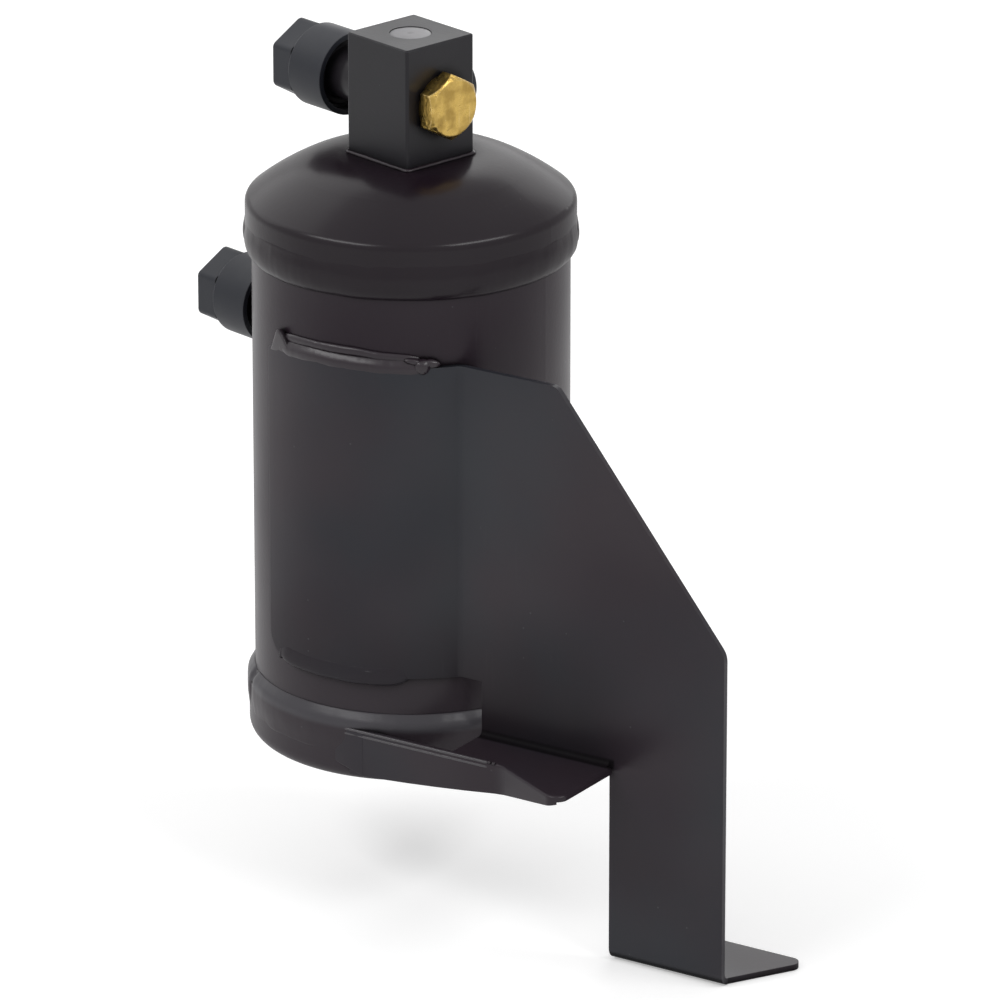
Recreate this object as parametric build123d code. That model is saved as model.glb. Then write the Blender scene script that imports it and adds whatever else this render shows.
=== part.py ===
from build123d import *
import os
from math import atan2, cos, degrees, radians, sin, sqrt, tan

# Receiver drier for an air-conditioning circuit, in millimetres.
# Every piece is built round the can's axis, with +X along the bracket's flat plate and +Y behind
# that plate. It is then moved into the part's frame, whose origin is the middle of the fixing hole
# at the underside of the bracket's foot. +Z is up.

# Can
tube_radius = 38.1
tube_wall = 2.0
cap_wall = 1.45
cap_gap = 0.05
upper_toe_z = 158.2
lower_toe_z = 54.1
skirt_cover = 4.0
tube_entry = 8.5
top_rise = 27.8
top_ball = 62.0
top_corner = 2.5
seat_radius = 15.5
seat_drop = 3.7
bottom_rise = 21.4
bottom_ball = 185.0
bottom_corner = 3.5

# Girth welds: total height, and the height and size of the swell, from the toe on the tube
upper_bead = 8.8
upper_swell_at = 4.8
upper_swell_out = 2.0
lower_bead = 11.6
lower_swell_at = 6.8
lower_swell_out = 1.9
bead_step = 0.25

# Head block
block_width = 21.3
block_height = 29.8
block_corner = 0.7
block_break = 0.3
spigot_radius = 8.0
spigot_length = 4.0
spigot_gap = 0.1
head_weld_leg = 0.9
head_weld_top = 0.1
head_weld_root = 0.5
port_height = 14.7
port_turn = -14.7
gallery_radius = 3.0
gallery_rise = 2.0
port_drilling = 2.2

# Sight glass in the top of the block
glass_radius = 4.9
glass_thickness = 3.4
glass_recess = 0.6
glass_gap = 0.1
glass_seal_height = 1.0
glass_seal_width = 1.4
sight_drilling = 2.4

# Pipe fittings, measured outwards from the face that they stand on
fitting_bore = 4.0
fitting_neck_radius = 6.5
fitting_neck = 12.8
fitting_collar_radius = 7.8
fitting_collar = 1.6
fitting_relief_radius = 6.9
fitting_relief = 1.4
fitting_thread_radius = 7.95
fitting_thread = 6.2
fitting_nose_radius = 5.8
fitting_nose = 5.0
fitting_nose_chamfer = 1.0
outlet_root_radius = 5.5
outlet_root = 5.0
root_gap = 0.05
inlet_z = 132.0
inlet_stand_off = 1.3
inlet_reach = 2.1
inlet_weld_leg = 2.0
inlet_weld_crest = 0.4

# Plastic screw caps on the fittings
cap_rim_at = 10.6
skirt_radius = 10.1
skirt_length = 11.1
mouth_radius = 8.8
mouth_depth = 3.2
cap_shoulder = 1.5
cap_neck_radius = 8.9
hex_across_flats = 17.5
hex_length = 6.2
hex_edge = 1.6
hex_end_round = 0.8
thread_gap = 0.15
nose_gap = 0.3

# Brass plug and switch plug
plug_across_flats = 14.2
plug_head = 5.0
plug_washer = 0.8
plug_washer_radius = 7.0
plug_chamfer = 1.2
plug_face_radius = 6.8
plug_stem_radius = 4.5
plug_stem = 5.0
switch_head_radius = 7.5
switch_head = 4.3
switch_round = 1.0
switch_seal_height = 0.7

# Inside the can
pickup_radius = 4.0
pickup_wall = 0.8
pickup_seat = 5.0
pickup_lift = 2.0
floor_gap = 0.3
strainer_radius = 6.5
strainer_height = 12.0
strainer_wall = 0.8
strainer_slots = 6
strainer_slot_width = 2.6
strainer_slot_height = 6.0
plate_thickness = 1.2
plate_gap = 0.05
plate_rim = 6.0
plate_bore_gap = 0.15
plate_hole_radius = 2.0
plate_hole_rings = {6: 13.5, 12: 25.5}
lower_plate_z = 66.0
pad_thickness = 6.0
bed_height = 40.0
soft_gap = 0.1
spring_wire = 1.1
spring_radius = 17.0
spring_turns = 5
spring_seat_gap = 0.1

# Bracket, one folded sheet: distances along the plate are from the can's axis
sheet = 1.5
saddle_gap = 0.05
saddle_start = -26.0
saddle_bottom_z = 63.5
saddle_top_z = 141.8
saddle_trim = 0.3
saddle_low_corner = 6.0
saddle_high_corner = 2.0
plate_set_in = 12.7
plate_bend = 1.7
plate_left = 36.5
plate_right = 104.0
chamfer_start = 57.3
chamfer_end_z = 84.0
chamfer_top_corner = 3.0
chamfer_low_corner = 5.0
leg_left = 72.5
shelf_z = 49.9
shelf_bend = 1.3
shelf_right = 74.0
shelf_reach = 25.8
shelf_corner = 3.0
lip_reach = 14.0
lip_start = 7.9
lip_turn = 50.9
lip_turn_radius = 8.0
lip_left_z = 38.2
lip_middle_z = 40.0
lip_turn_z = 42.5
lip_edge = 0.8
lip_clearance = 0.05
foot_depth = 22.0
foot_bend = 1.6
foot_flare = 11.0
foot_corner = 2.5
foot_hole_radius = 4.5
foot_hole_back = 12.5

# Beads between the bracket and the can: spans are angles round the can from the plate's normal
saddle_weld_leg = 2.6
saddle_weld_gap = 0.05
upper_weld_span = (-17.0, 39.0)
lower_weld_span = (-20.0, 31.0)
shelf_weld_span = (19.5, 27.0)
shelf_weld_radius = 1.3
shelf_weld_out = 0.4
shelf_weld_drop = 1.5


def seat_blend_radius(ball):
    """The radius that blends a crown of a given radius into the flat seat under the block."""
    return (ball ** 2 - seat_radius ** 2 - (ball - seat_drop) ** 2) / (2 * seat_drop)


# Worked out from the sizes above
cap_radius = tube_radius + cap_gap + cap_wall
upper_swell = tube_radius + upper_swell_out
lower_swell = tube_radius + lower_swell_out
crown_z = upper_toe_z + top_rise
floor_z = lower_toe_z - bottom_rise
crown_hole = spigot_radius + spigot_gap
block_bottom_z = crown_z - seat_drop
seat_blend = seat_blend_radius(top_ball)
seat_blend_z = block_bottom_z - seat_blend
block_top_z = block_bottom_z + block_height
port_z = block_bottom_z + port_height
half_block = block_width / 2
glass_top_z = block_top_z - glass_recess
glass_seat_z = glass_top_z - glass_thickness - glass_seal_height
fitting_collar_at = fitting_neck + fitting_collar
fitting_thread_at = fitting_collar_at + fitting_relief
fitting_nose_at = fitting_thread_at + fitting_thread
fitting_length = fitting_nose_at + fitting_nose
can_inside = tube_radius - tube_wall
bed_low_z = lower_plate_z + plate_thickness + pad_thickness + 2 * soft_gap
bed_high_z = bed_low_z + bed_height
upper_plate_z = bed_high_z + pad_thickness + 2 * soft_gap
strainer_low_z = floor_z + cap_wall + floor_gap
saddle_inside = tube_radius + saddle_gap
saddle_outside = saddle_inside + sheet
plate_offset = tube_radius - plate_set_in
foot_middle = (leg_left + plate_right) / 2

# Places on the part, each with +X pointing out of its face
port_frame = Location((0, 0, port_z), (0, 0, port_turn))
fuse_face = port_frame * Location((half_block, 0, 0))
switch_face = port_frame * Location((0, half_block, 0), (0, 0, 90))
outlet_face = port_frame * Location((-half_block, 0, 0), (0, 0, 180))
inlet_axis = Location((0, 0, inlet_z), (0, 0, port_turn + 180))
inlet_face = inlet_axis * Location((tube_radius + inlet_stand_off, 0, 0))
top_end = Location((0, 0, upper_toe_z))
bottom_end = Location((0, 0, lower_toe_z), (180, 0, 0))
part_frame = Location((-foot_middle, plate_offset - foot_hole_back, 0))


# Helpers

def rings(*points):
    """A solid of revolution about +Z from (radius, height) points."""
    return revolve(Plane.XZ * make_face(Polyline(*points, close=True)), Axis.Z)


def tube(outer, inner, low, high):
    """A round tube on the can's axis."""
    return rings((inner, low), (outer, low), (outer, high), (inner, high))


def rod(radius, low, high):
    """A round bar on the can's axis."""
    return Location((0, 0, low)) * Cylinder(radius, high - low, align=(Align.CENTER, Align.CENTER, Align.MIN))


def along_x(solid):
    """Turn a solid that was built along +Z to point along +X."""
    return Rotation(0, 90, 0) * solid


def hexagon(across_flats, low, high):
    """A hexagonal bar on +Z, with corners that point up and down once it lies along +X."""
    return Location((0, 0, low)) * extrude(RegularPolygon(across_flats / sqrt(3), 6), high - low)


def round_corners(face, corners):
    """Round corners of a flat outline, each given as a point and a radius."""
    for point, radius in corners:
        face = fillet(face.vertices().sort_by_distance(point)[0], radius)
    return face


# Can

def dome(radius, ball, corner, crown, base):
    """A solid dome: a straight side, a rounded shoulder and a spherical crown."""
    centre = crown - ball
    corner_x = radius - corner
    corner_z = centre + sqrt((ball - corner) ** 2 - corner_x ** 2)
    turn = degrees(atan2(corner_z - centre, corner_x))
    shoulder = CenterArc((corner_x, corner_z), corner, 0, turn)
    top = CenterArc((0, centre), ball, turn, 90 - turn)
    sides = Polyline((0, crown), (0, base), (radius, base), (radius, corner_z))
    return revolve(Plane.XZ * make_face([shoulder, top] + sides.edges()), Axis.Z)


def seated_dome(radius, ball, corner, crown, base):
    """A solid dome whose crown is pressed flat for the block's seat, with a blend round it."""
    blend = seat_blend_radius(ball)
    blend_z = crown - seat_drop - blend
    turn = degrees(atan2(ball - seat_drop - blend, seat_radius))
    reach = seat_radius + blend * cos(radians(turn))
    arc = CenterArc((seat_radius, blend_z), blend, turn, 90 - turn)
    outline = Polyline(arc @ 1, (0, crown - seat_drop), (0, crown + 1), (reach, crown + 1), arc @ 0)
    return dome(radius, ball, corner, crown, base) - revolve(Plane.XZ * make_face([arc] + outline.edges()), Axis.Z)


def end_cap(form, rise, ball, corner):
    """A stamped cap in the end's own frame: the weld's toe at 0 and the crown at rise."""
    outside = form(cap_radius, ball, corner, rise, skirt_cover)
    inside = form(cap_radius - cap_wall, ball - cap_wall, corner - cap_wall, rise - cap_wall, 0)
    return outside - inside


def girth_bead(height, swell_at, swell):
    """The wide weld that buries a cap's edge: a rounded swell that ends in a small step."""
    crest = (swell, swell_at)
    top = (cap_radius + bead_step, height)
    toe_middle = ((tube_radius + 2.4 * swell) / 3.4, swell_at * 0.42)
    top_middle = ((3 * swell + top[0]) / 4, (swell_at + height) / 2)
    sides = [ThreePointArc((tube_radius, 0), toe_middle, crest), ThreePointArc(crest, top_middle, top)]
    seat = Polyline(
        top, (cap_radius, height), (cap_radius, skirt_cover), (tube_radius, skirt_cover), (tube_radius, 0))
    return revolve(Plane.XZ * make_face(sides + seat.edges()), Axis.Z)


def shell_tube():
    """The can's tube, with the hole that the inlet fitting passes through."""
    wall = tube(tube_radius, can_inside, lower_toe_z - tube_entry, upper_toe_z + tube_entry)
    return wall - inlet_axis * along_x(rod(fitting_neck_radius + root_gap, 0, 2 * tube_radius))


def top_cap():
    """The domed cap, with the hole that the block's spigot sits in."""
    cap = top_end * end_cap(seated_dome, top_rise, top_ball, top_corner)
    return cap - rod(crown_hole, upper_toe_z, crown_z + 1)


def bottom_cap():
    """The nearly flat cap."""
    return bottom_end * end_cap(dome, bottom_rise, bottom_ball, bottom_corner)


def upper_girth_weld():
    """The wide bead round the top cap's edge."""
    return top_end * girth_bead(upper_bead, upper_swell_at, upper_swell)


def lower_girth_weld():
    """The wide bead round the bottom cap's edge."""
    return bottom_end * girth_bead(lower_bead, lower_swell_at, lower_swell)


# Head block and what screws into it

def block_bar():
    """The block's plain outside: a square bar with broken edges."""
    bar = Location((0, 0, block_bottom_z), (0, 0, port_turn)) * Box(
        block_width, block_width, block_height, align=(Align.CENTER, Align.CENTER, Align.MIN))
    bar = fillet(bar.edges().filter_by(Axis.Z), block_corner)
    return chamfer(bar.faces().sort_by(Axis.Z)[-1].edges(), block_break)


def head_block():
    """The machined block with its spigot, its ports and the gallery that joins them."""
    foot_z = block_bottom_z - spigot_length
    block = block_bar() + rod(spigot_radius, foot_z, block_bottom_z)
    block -= rod(gallery_radius, foot_z, port_z + gallery_rise)
    block -= rod(pickup_radius + root_gap, foot_z, block_bottom_z + pickup_seat)
    block -= outlet_face * along_x(rod(outlet_root_radius + root_gap, -outlet_root, 1))
    for face in (fuse_face, switch_face):
        block -= face * along_x(rod(plug_stem_radius + root_gap, -plug_stem, 1))
    for face in (outlet_face, fuse_face, switch_face):
        block -= face * along_x(rod(port_drilling, -half_block, 1))
    block -= rod(glass_radius + glass_gap, glass_seat_z, block_top_z + 1)
    return block - rod(sight_drilling, port_z, glass_seat_z + 1)


def head_block_weld():
    """The small fillet weld that runs round the foot of the block."""
    spread = (head_weld_leg - head_weld_top) / head_weld_leg
    wide = head_weld_leg + head_weld_root * spread
    plan = RectangleRounded(block_width + 2 * wide, block_width + 2 * wide, wide + block_corner)
    place = Location((0, 0, block_bottom_z - head_weld_root), (0, 0, port_turn))
    bead = place * extrude(plan, head_weld_leg + head_weld_root, taper=degrees(atan2(spread, 1)))
    ball = seated_dome(cap_radius, top_ball, top_corner, crown_z, upper_toe_z)
    return bead - ball - block_bar() - rod(half_block, upper_toe_z, block_bottom_z)


def sight_glass():
    """The round glass, a little below the block's top."""
    return rod(glass_radius, glass_top_z - glass_thickness, glass_top_z)


def sight_glass_seal():
    """The ring that the glass presses on."""
    return tube(glass_radius, glass_radius - glass_seal_width, glass_seat_z, glass_seat_z + glass_seal_height)


def fitting(root_radius, root):
    """A male pipe fitting along +X, with the face that it stands on at 0 and its root behind."""
    body = rings(
        (fitting_bore, 0), (fitting_neck_radius, 0), (fitting_neck_radius, fitting_neck),
        (fitting_collar_radius, fitting_neck), (fitting_collar_radius, fitting_collar_at),
        (fitting_relief_radius, fitting_collar_at), (fitting_relief_radius, fitting_thread_at),
        (fitting_thread_radius, fitting_thread_at), (fitting_thread_radius, fitting_nose_at),
        (fitting_nose_radius, fitting_nose_at),
        (fitting_nose_radius, fitting_length - fitting_nose_chamfer),
        (fitting_nose_radius - fitting_nose_chamfer, fitting_length), (fitting_bore, fitting_length))
    return along_x(body + tube(root_radius, fitting_bore, -root, 0))


def outlet_fitting():
    """The fitting on the block."""
    return outlet_face * fitting(outlet_root_radius, outlet_root)


def inlet_fitting():
    """The fitting on the can's wall, its root reaching through the wall."""
    return inlet_face * fitting(fitting_neck_radius, inlet_stand_off + tube_wall + inlet_reach)


def inlet_weld():
    """The fillet weld between the inlet fitting and the curved wall of the can."""
    inner = fitting_neck_radius + root_gap
    outer = inner + inlet_weld_leg
    low = -inlet_stand_off - inlet_weld_leg
    high = inlet_weld_leg - inlet_stand_off
    bead = rings(
        (inner, low), (outer, low), (outer, -inlet_stand_off), (inner + inlet_weld_crest, high), (inner, high))
    return inlet_face * along_x(bead) - rod(tube_radius, lower_toe_z, upper_toe_z)


def screw_cap():
    """A plastic cap along +X, with its open rim at 0: a round skirt and a hexagonal end."""
    shoulder = skirt_length + cap_shoulder
    skirt = rings(
        (0, 0), (skirt_radius, 0), (skirt_radius, skirt_length), (cap_neck_radius, shoulder), (0, shoulder))
    grip = hexagon(hex_across_flats, skirt_length + cap_shoulder / 2, shoulder + hex_length)
    grip = fillet(grip.edges().filter_by(Axis.Z), hex_edge)
    grip = fillet(grip.faces().sort_by(Axis.Z)[-1].edges(), hex_end_round)
    cap = skirt + grip - rod(mouth_radius, 0, mouth_depth)
    cap -= rod(fitting_thread_radius + thread_gap, 0, fitting_nose_at + thread_gap - cap_rim_at)
    return along_x(cap - rod(fitting_nose_radius + nose_gap, 0, fitting_length - cap_rim_at))


def outlet_cap():
    """The cap on the block's fitting."""
    return outlet_face * Location((cap_rim_at, 0, 0)) * screw_cap()


def inlet_cap():
    """The cap on the wall's fitting."""
    return inlet_face * Location((cap_rim_at, 0, 0)) * screw_cap()


def brass_plug():
    """The brass plug: a chamfered hexagonal head on a round washer face, with a solid stem."""
    corner = plug_across_flats / sqrt(3)
    wide = corner + 1
    wide_at = plug_head - plug_chamfer * (wide - plug_face_radius) / (corner - plug_face_radius)
    head = hexagon(plug_across_flats, plug_washer, plug_head)
    head &= rings((0, 0), (wide, 0), (wide, wide_at), (plug_face_radius, plug_head), (0, plug_head))
    head += rod(plug_washer_radius, 0, plug_washer)
    return fuse_face * along_x(head + rod(plug_stem_radius, -plug_stem, 0))


def switch_plug():
    """The black plug that closes the pressure-switch port."""
    head = rod(switch_head_radius, switch_seal_height, switch_head)
    head = fillet(head.edges().sort_by(Axis.Z)[-1], switch_round)
    return switch_face * along_x(head + rod(plug_stem_radius, -plug_stem, switch_seal_height))


def switch_seal():
    """The ring under the switch plug's head."""
    return switch_face * along_x(tube(switch_head_radius - switch_round, plug_stem_radius, 0, switch_seal_height))


# Inside the can

def pickup_tube():
    """The tube that draws liquid from the bottom of the can up into the head block."""
    low = strainer_low_z + strainer_wall + pickup_lift
    return tube(pickup_radius, pickup_radius - pickup_wall, low, block_bottom_z + pickup_seat)


def pickup_strainer():
    """A slotted cup on the foot of the pickup tube."""
    high = strainer_low_z + strainer_height
    cup = rod(strainer_radius, strainer_low_z, high)
    cup -= rod(strainer_radius - strainer_wall, strainer_low_z + strainer_wall, high - strainer_wall)
    cup -= rod(pickup_radius, strainer_low_z + strainer_wall, high)
    slot = Box(4 * strainer_wall, strainer_slot_width, strainer_slot_height)
    for place in PolarLocations(strainer_radius, strainer_slots):
        cup -= Location((0, 0, (strainer_low_z + high) / 2)) * place * slot
    return cup


def drilled_disc(low):
    """A plate with a hole for the pickup tube and rings of round holes."""
    disc = tube(can_inside - plate_gap, pickup_radius + plate_bore_gap, low, low + plate_thickness)
    hole = Cylinder(plate_hole_radius, 4 * plate_thickness)
    for count, radius in plate_hole_rings.items():
        for place in PolarLocations(radius, count):
            disc -= Location((0, 0, low)) * place * hole
    return disc


def core_ring(low, high):
    """A soft filling between the pickup tube and the can's wall."""
    return tube(can_inside - soft_gap, pickup_radius + soft_gap, low, high)


def lower_plate():
    """The fixed plate that carries the filling, with a turned-down rim that grips the wall."""
    outer = can_inside - plate_gap
    rim = tube(outer, outer - plate_thickness, lower_plate_z - plate_rim, lower_plate_z)
    return drilled_disc(lower_plate_z) + rim


def lower_pad():
    """The felt under the drying beads."""
    low = lower_plate_z + plate_thickness + soft_gap
    return core_ring(low, low + pad_thickness)


def desiccant_bed():
    """The drying beads, as one filling."""
    return core_ring(bed_low_z, bed_high_z)


def upper_pad():
    """The felt over the drying beads."""
    return core_ring(bed_high_z + soft_gap, bed_high_z + soft_gap + pad_thickness)


def upper_plate():
    """The loose plate that presses on the filling."""
    return drilled_disc(upper_plate_z)


def hold_down_spring():
    """The open coil spring between the upper plate and the underside of the top cap."""
    reach = spring_radius + spring_wire - seat_radius
    seat_z = seat_blend_z + sqrt((seat_blend - cap_wall) ** 2 - reach ** 2)
    low = upper_plate_z + plate_thickness + spring_wire + spring_seat_gap
    rise = seat_z - spring_wire - spring_seat_gap - low
    coil = Location((0, 0, low)) * Helix(rise / spring_turns, rise, spring_radius)
    return sweep(Plane(coil @ 0, z_dir=coil % 0) * Circle(spring_wire), path=coil, is_frenet=True)


# Bracket

def sheet_plan():
    """The upright sheet seen from above: saddle round the can, reverse bend and flat plate."""
    bend_y = -plate_offset - plate_bend
    bend_x = sqrt((saddle_outside + plate_bend) ** 2 - bend_y ** 2)
    turn = degrees(atan2(bend_x, -bend_y))
    arcs = [
        CenterArc((0, 0), saddle_outside, saddle_start - 90, turn - saddle_start),
        CenterArc((0, 0), saddle_inside, saddle_start - 90, turn - saddle_start),
        CenterArc((bend_x, bend_y), plate_bend, 90, turn),
        CenterArc((bend_x, bend_y), plate_bend + sheet, 90, turn)]
    free_end = Line(arcs[0] @ 0, arcs[1] @ 0)
    plate = Polyline(
        (bend_x, -plate_offset), (plate_right, -plate_offset),
        (plate_right, sheet - plate_offset), (bend_x, sheet - plate_offset))
    return make_face(arcs + [free_end] + plate.edges())


def sheet_outline():
    """The saddle, plate and leg seen from the front, with their corners rounded."""
    left = saddle_outside * sin(radians(saddle_start)) + saddle_trim
    low = sheet + foot_bend
    fold = shelf_z + shelf_bend
    outline = make_face(Polyline(
        (left, saddle_top_z), (chamfer_start, saddle_top_z), (plate_right, chamfer_end_z), (plate_right, low),
        (leg_left, low), (leg_left, fold), (plate_left, fold), (plate_left, saddle_bottom_z),
        (left, saddle_bottom_z), close=True))
    return round_corners(outline, [
        ((left, saddle_top_z), saddle_high_corner), ((left, saddle_bottom_z), saddle_low_corner),
        ((chamfer_start, saddle_top_z), chamfer_top_corner), ((plate_right, chamfer_end_z), chamfer_low_corner)])


def quarter_bend(inner, left, right, y, z, start):
    """A quarter bend of the sheet along +X, between two flat stretches, about a centre line."""
    near = CenterArc((y, z), inner, start, 90)
    far = CenterArc((y, z), inner + sheet, start, 90)
    ends = [Line(near @ 0, far @ 0), Line(near @ 1, far @ 1)]
    return extrude(Plane.YZ.offset(left) * make_face([near, far] + ends), right - left)


def shelf_plan(left, right, inset):
    """The shelf seen from above, with its kinked front edge moved back by an inset."""
    slope = atan2(shelf_reach - lip_reach, shelf_right - lip_turn)
    turn_x = lip_turn + inset * tan(slope / 2)
    front = inset - plate_offset - lip_reach
    end = front - (right - turn_x) * tan(slope)
    back = -plate_offset - shelf_bend
    plan = make_face(Polyline(
        (left, front), (turn_x, front), (right, end), (right, back), (left, back), close=True))
    return round_corners(plan, [((turn_x, front), lip_turn_radius + inset)])


def shelf_and_lip():
    """The tab, with its lip folded down along the front and carried on as an arm to the can."""
    low = lip_left_z - 1
    block = extrude(Location((0, 0, low)) * shelf_plan(lip_start, shelf_right, 0), shelf_z - low)
    corner = block.edges().filter_by(Axis.Z).sort_by(Axis.Y)[0]
    block = fillet(corner, shelf_corner)
    block = fillet(block.faces().sort_by(Axis.Z)[-1].edges().sort_by(Axis.Y)[:4], lip_edge)
    wide = 4 * tube_radius
    tab = block & Location((plate_left + wide / 2, 0, shelf_z - sheet / 2)) * Box(wide, wide, sheet)
    wall = block - Location((0, 0, low)) * extrude(shelf_plan(lip_start - 1, shelf_right + 1, sheet), shelf_z)
    edge = ThreePointArc(
        (lip_start - 1, lip_left_z), ((lip_start + lip_turn) / 2, lip_middle_z), (lip_turn, lip_turn_z))
    rest = Polyline(edge @ 1, (shelf_right + 1, shelf_z - sheet), (shelf_right + 1, 0), (lip_start - 1, 0), edge @ 0)
    under = make_face([edge] + rest.edges())
    wall -= extrude(Plane.XZ * under, wide)
    return tab + (wall - rod(lower_swell + lip_clearance, 0, saddle_bottom_z))


def foot():
    """The foot folded back from the leg, with flared sides, rounded corners and a fixing hole."""
    fold_y = sheet - plate_offset + foot_bend
    end_y = foot_depth - plate_offset
    fold = quarter_bend(foot_bend, leg_left, plate_right, fold_y, sheet + foot_bend, 180)
    back_left = (leg_left - foot_flare, end_y)
    back_right = (plate_right + foot_flare, end_y)
    plan = make_face(Polyline((leg_left, fold_y), (plate_right, fold_y), back_right, back_left, close=True))
    plan = round_corners(plan, [(back_left, foot_corner), (back_right, foot_corner)])
    hole = Location((foot_middle, foot_hole_back - plate_offset, 0)) * Cylinder(foot_hole_radius, 4 * sheet)
    return fold + extrude(plan, sheet) - hole


def bracket():
    """The whole bracket, one folded sheet."""
    upright = extrude(sheet_plan(), saddle_top_z)
    upright &= extrude(Plane.XZ * sheet_outline(), 2 * tube_radius, both=True)
    fold = quarter_bend(shelf_bend, plate_left, leg_left, -plate_offset - shelf_bend, shelf_z + shelf_bend, -90)
    return upright + fold + shelf_and_lip() + foot()


def edge_bead(span):
    """A fillet weld that stands on the saddle's edge and runs round the can over a span."""
    low = saddle_weld_gap
    high = low + saddle_weld_leg
    swell = (tube_radius + 0.72 * sheet, low + 0.72 * saddle_weld_leg)
    section = make_face([
        Line((tube_radius, low), (saddle_outside, low)), Line((tube_radius, low), (tube_radius, high)),
        ThreePointArc((saddle_outside, low), swell, (tube_radius, high))])
    return Rotation(0, 0, span[0] - 90) * revolve(Plane.XZ * section, Axis.Z, span[1] - span[0])


def saddle_upper_weld():
    """The bead on the saddle's top edge."""
    return Location((0, 0, saddle_top_z)) * edge_bead(upper_weld_span)


def saddle_lower_weld():
    """The bead on the saddle's bottom edge."""
    return Location((0, 0, saddle_bottom_z)) * mirror(edge_bead(lower_weld_span), Plane.XY)


def shelf_weld():
    """The short bead in the wedge between the can and the back of the lip's arm."""
    place = Location((0, 0, shelf_z - shelf_weld_drop), (0, 0, shelf_weld_span[0] - 90))
    section = Plane.XZ * Location((lower_swell + shelf_weld_out, 0)) * Circle(shelf_weld_radius)
    bead = place * revolve(section, Axis.Z, shelf_weld_span[1] - shelf_weld_span[0])
    bead -= lower_girth_weld() + rod(cap_radius, 0, lower_toe_z - skirt_cover)
    return bead - rod(tube_radius, 0, saddle_top_z) - shelf_and_lip()


pieces = {
    "shell_tube": shell_tube, "top_cap": top_cap, "bottom_cap": bottom_cap,
    "upper_girth_weld": upper_girth_weld, "lower_girth_weld": lower_girth_weld,
    "head_block": head_block, "head_block_weld": head_block_weld,
    "sight_glass": sight_glass, "sight_glass_seal": sight_glass_seal,
    "outlet_fitting": outlet_fitting, "outlet_cap": outlet_cap,
    "inlet_fitting": inlet_fitting, "inlet_cap": inlet_cap, "inlet_weld": inlet_weld,
    "brass_plug": brass_plug, "switch_plug": switch_plug, "switch_seal": switch_seal,
    "pickup_tube": pickup_tube, "pickup_strainer": pickup_strainer,
    "lower_plate": lower_plate, "lower_pad": lower_pad, "desiccant_bed": desiccant_bed,
    "upper_pad": upper_pad, "upper_plate": upper_plate, "hold_down_spring": hold_down_spring,
    "bracket": bracket, "saddle_upper_weld": saddle_upper_weld,
    "saddle_lower_weld": saddle_lower_weld, "shelf_weld": shelf_weld,
}

os.makedirs("parts", exist_ok=True)
for name, build in pieces.items():
    export_step(part_frame * build(), os.path.join("parts", name + ".step"))
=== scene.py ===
"""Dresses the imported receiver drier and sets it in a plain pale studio."""
import logging
import math
import random
from dataclasses import dataclass, field, replace
from enum import Enum
from typing import Callable, Sequence

import bmesh
import bpy
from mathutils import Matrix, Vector


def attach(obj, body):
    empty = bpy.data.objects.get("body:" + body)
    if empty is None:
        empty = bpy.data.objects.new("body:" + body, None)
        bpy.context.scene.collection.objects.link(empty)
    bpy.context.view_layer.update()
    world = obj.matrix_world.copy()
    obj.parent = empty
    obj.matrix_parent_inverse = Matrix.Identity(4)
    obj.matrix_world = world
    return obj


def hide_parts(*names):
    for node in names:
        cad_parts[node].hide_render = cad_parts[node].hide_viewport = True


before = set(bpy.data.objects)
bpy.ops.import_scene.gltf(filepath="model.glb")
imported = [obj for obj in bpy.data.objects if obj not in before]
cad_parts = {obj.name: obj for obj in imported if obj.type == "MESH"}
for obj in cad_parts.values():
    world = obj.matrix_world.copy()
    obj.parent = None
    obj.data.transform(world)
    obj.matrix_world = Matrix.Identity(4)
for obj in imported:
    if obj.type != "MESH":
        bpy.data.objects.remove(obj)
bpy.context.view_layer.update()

log = logging.getLogger("drier")

Socket = bpy.types.NodeSocket
Node = bpy.types.Node
Piece = bpy.types.Object
Colour = tuple[float, float, float]
Place = tuple[float, float, float]
Size = tuple[float, float, float]
Pair = tuple[float, float]
Line = tuple[Pair, ...]

# A drop of weld metal: degrees round the can, height and half sizes in millimetres, and degrees of lean
Drop = tuple[float, float, Size, float]

# A millimetre, and the distance within which doubled vertices are merged, in metres
MM = 0.001
MERGE = 1e-6

# The can's axis, in millimetres in the part's frame, and the turn of the ports
CAN_X = -88.25
CAN_Y = 12.9
PORT_TURN = math.radians(-14.7)

# The height of the block's top, in millimetres
BLOCK_TOP = 212.1

# White, with its fourth number for how solid it is
WHITE = (1.0, 1.0, 1.0, 1.0)

# How many levels a bead's loops can have in a millimetre
LEVELS = 50.0

# Bands of a value over which a mask goes from one end to the other
EDGE_BAND = (0.82, 0.995)
HOLLOW_BAND = (0.52, 0.88)
SPECK_BAND = (0.06, 0.16)
SCUFF_BAND = (0.6, 0.72)
PATCH_BAND = (0.52, 0.72)
MOTTLE_BAND = (0.35, 0.65)
BROKEN_BAND = (0.38, 0.6)
TONE_BAND = (0.3, 0.7)

# Scales of noise that every finish shares, per metre
SCUFF_SCALE = 900.0
PATCH_SCALE = 38.0
BROKEN_SCALE = 420.0

# How strongly scuffs and specks show in the colour, and scuffs in the roughness
SCUFF_COLOUR = 0.35
SPECK_COLOUR = 0.3
SCUFF_ROUGHNESS = 0.12


class Lay(Enum):
    """The way that a surface's fine lines run, as a stretch on the axes of the ports' frame."""

    ALL_WAYS = (1.0, 1.0, 1.0)
    ACROSS_BLOCK = (0.06, 1.0, 1.0)
    UPRIGHT = (1.0, 1.0, 0.08)


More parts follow.
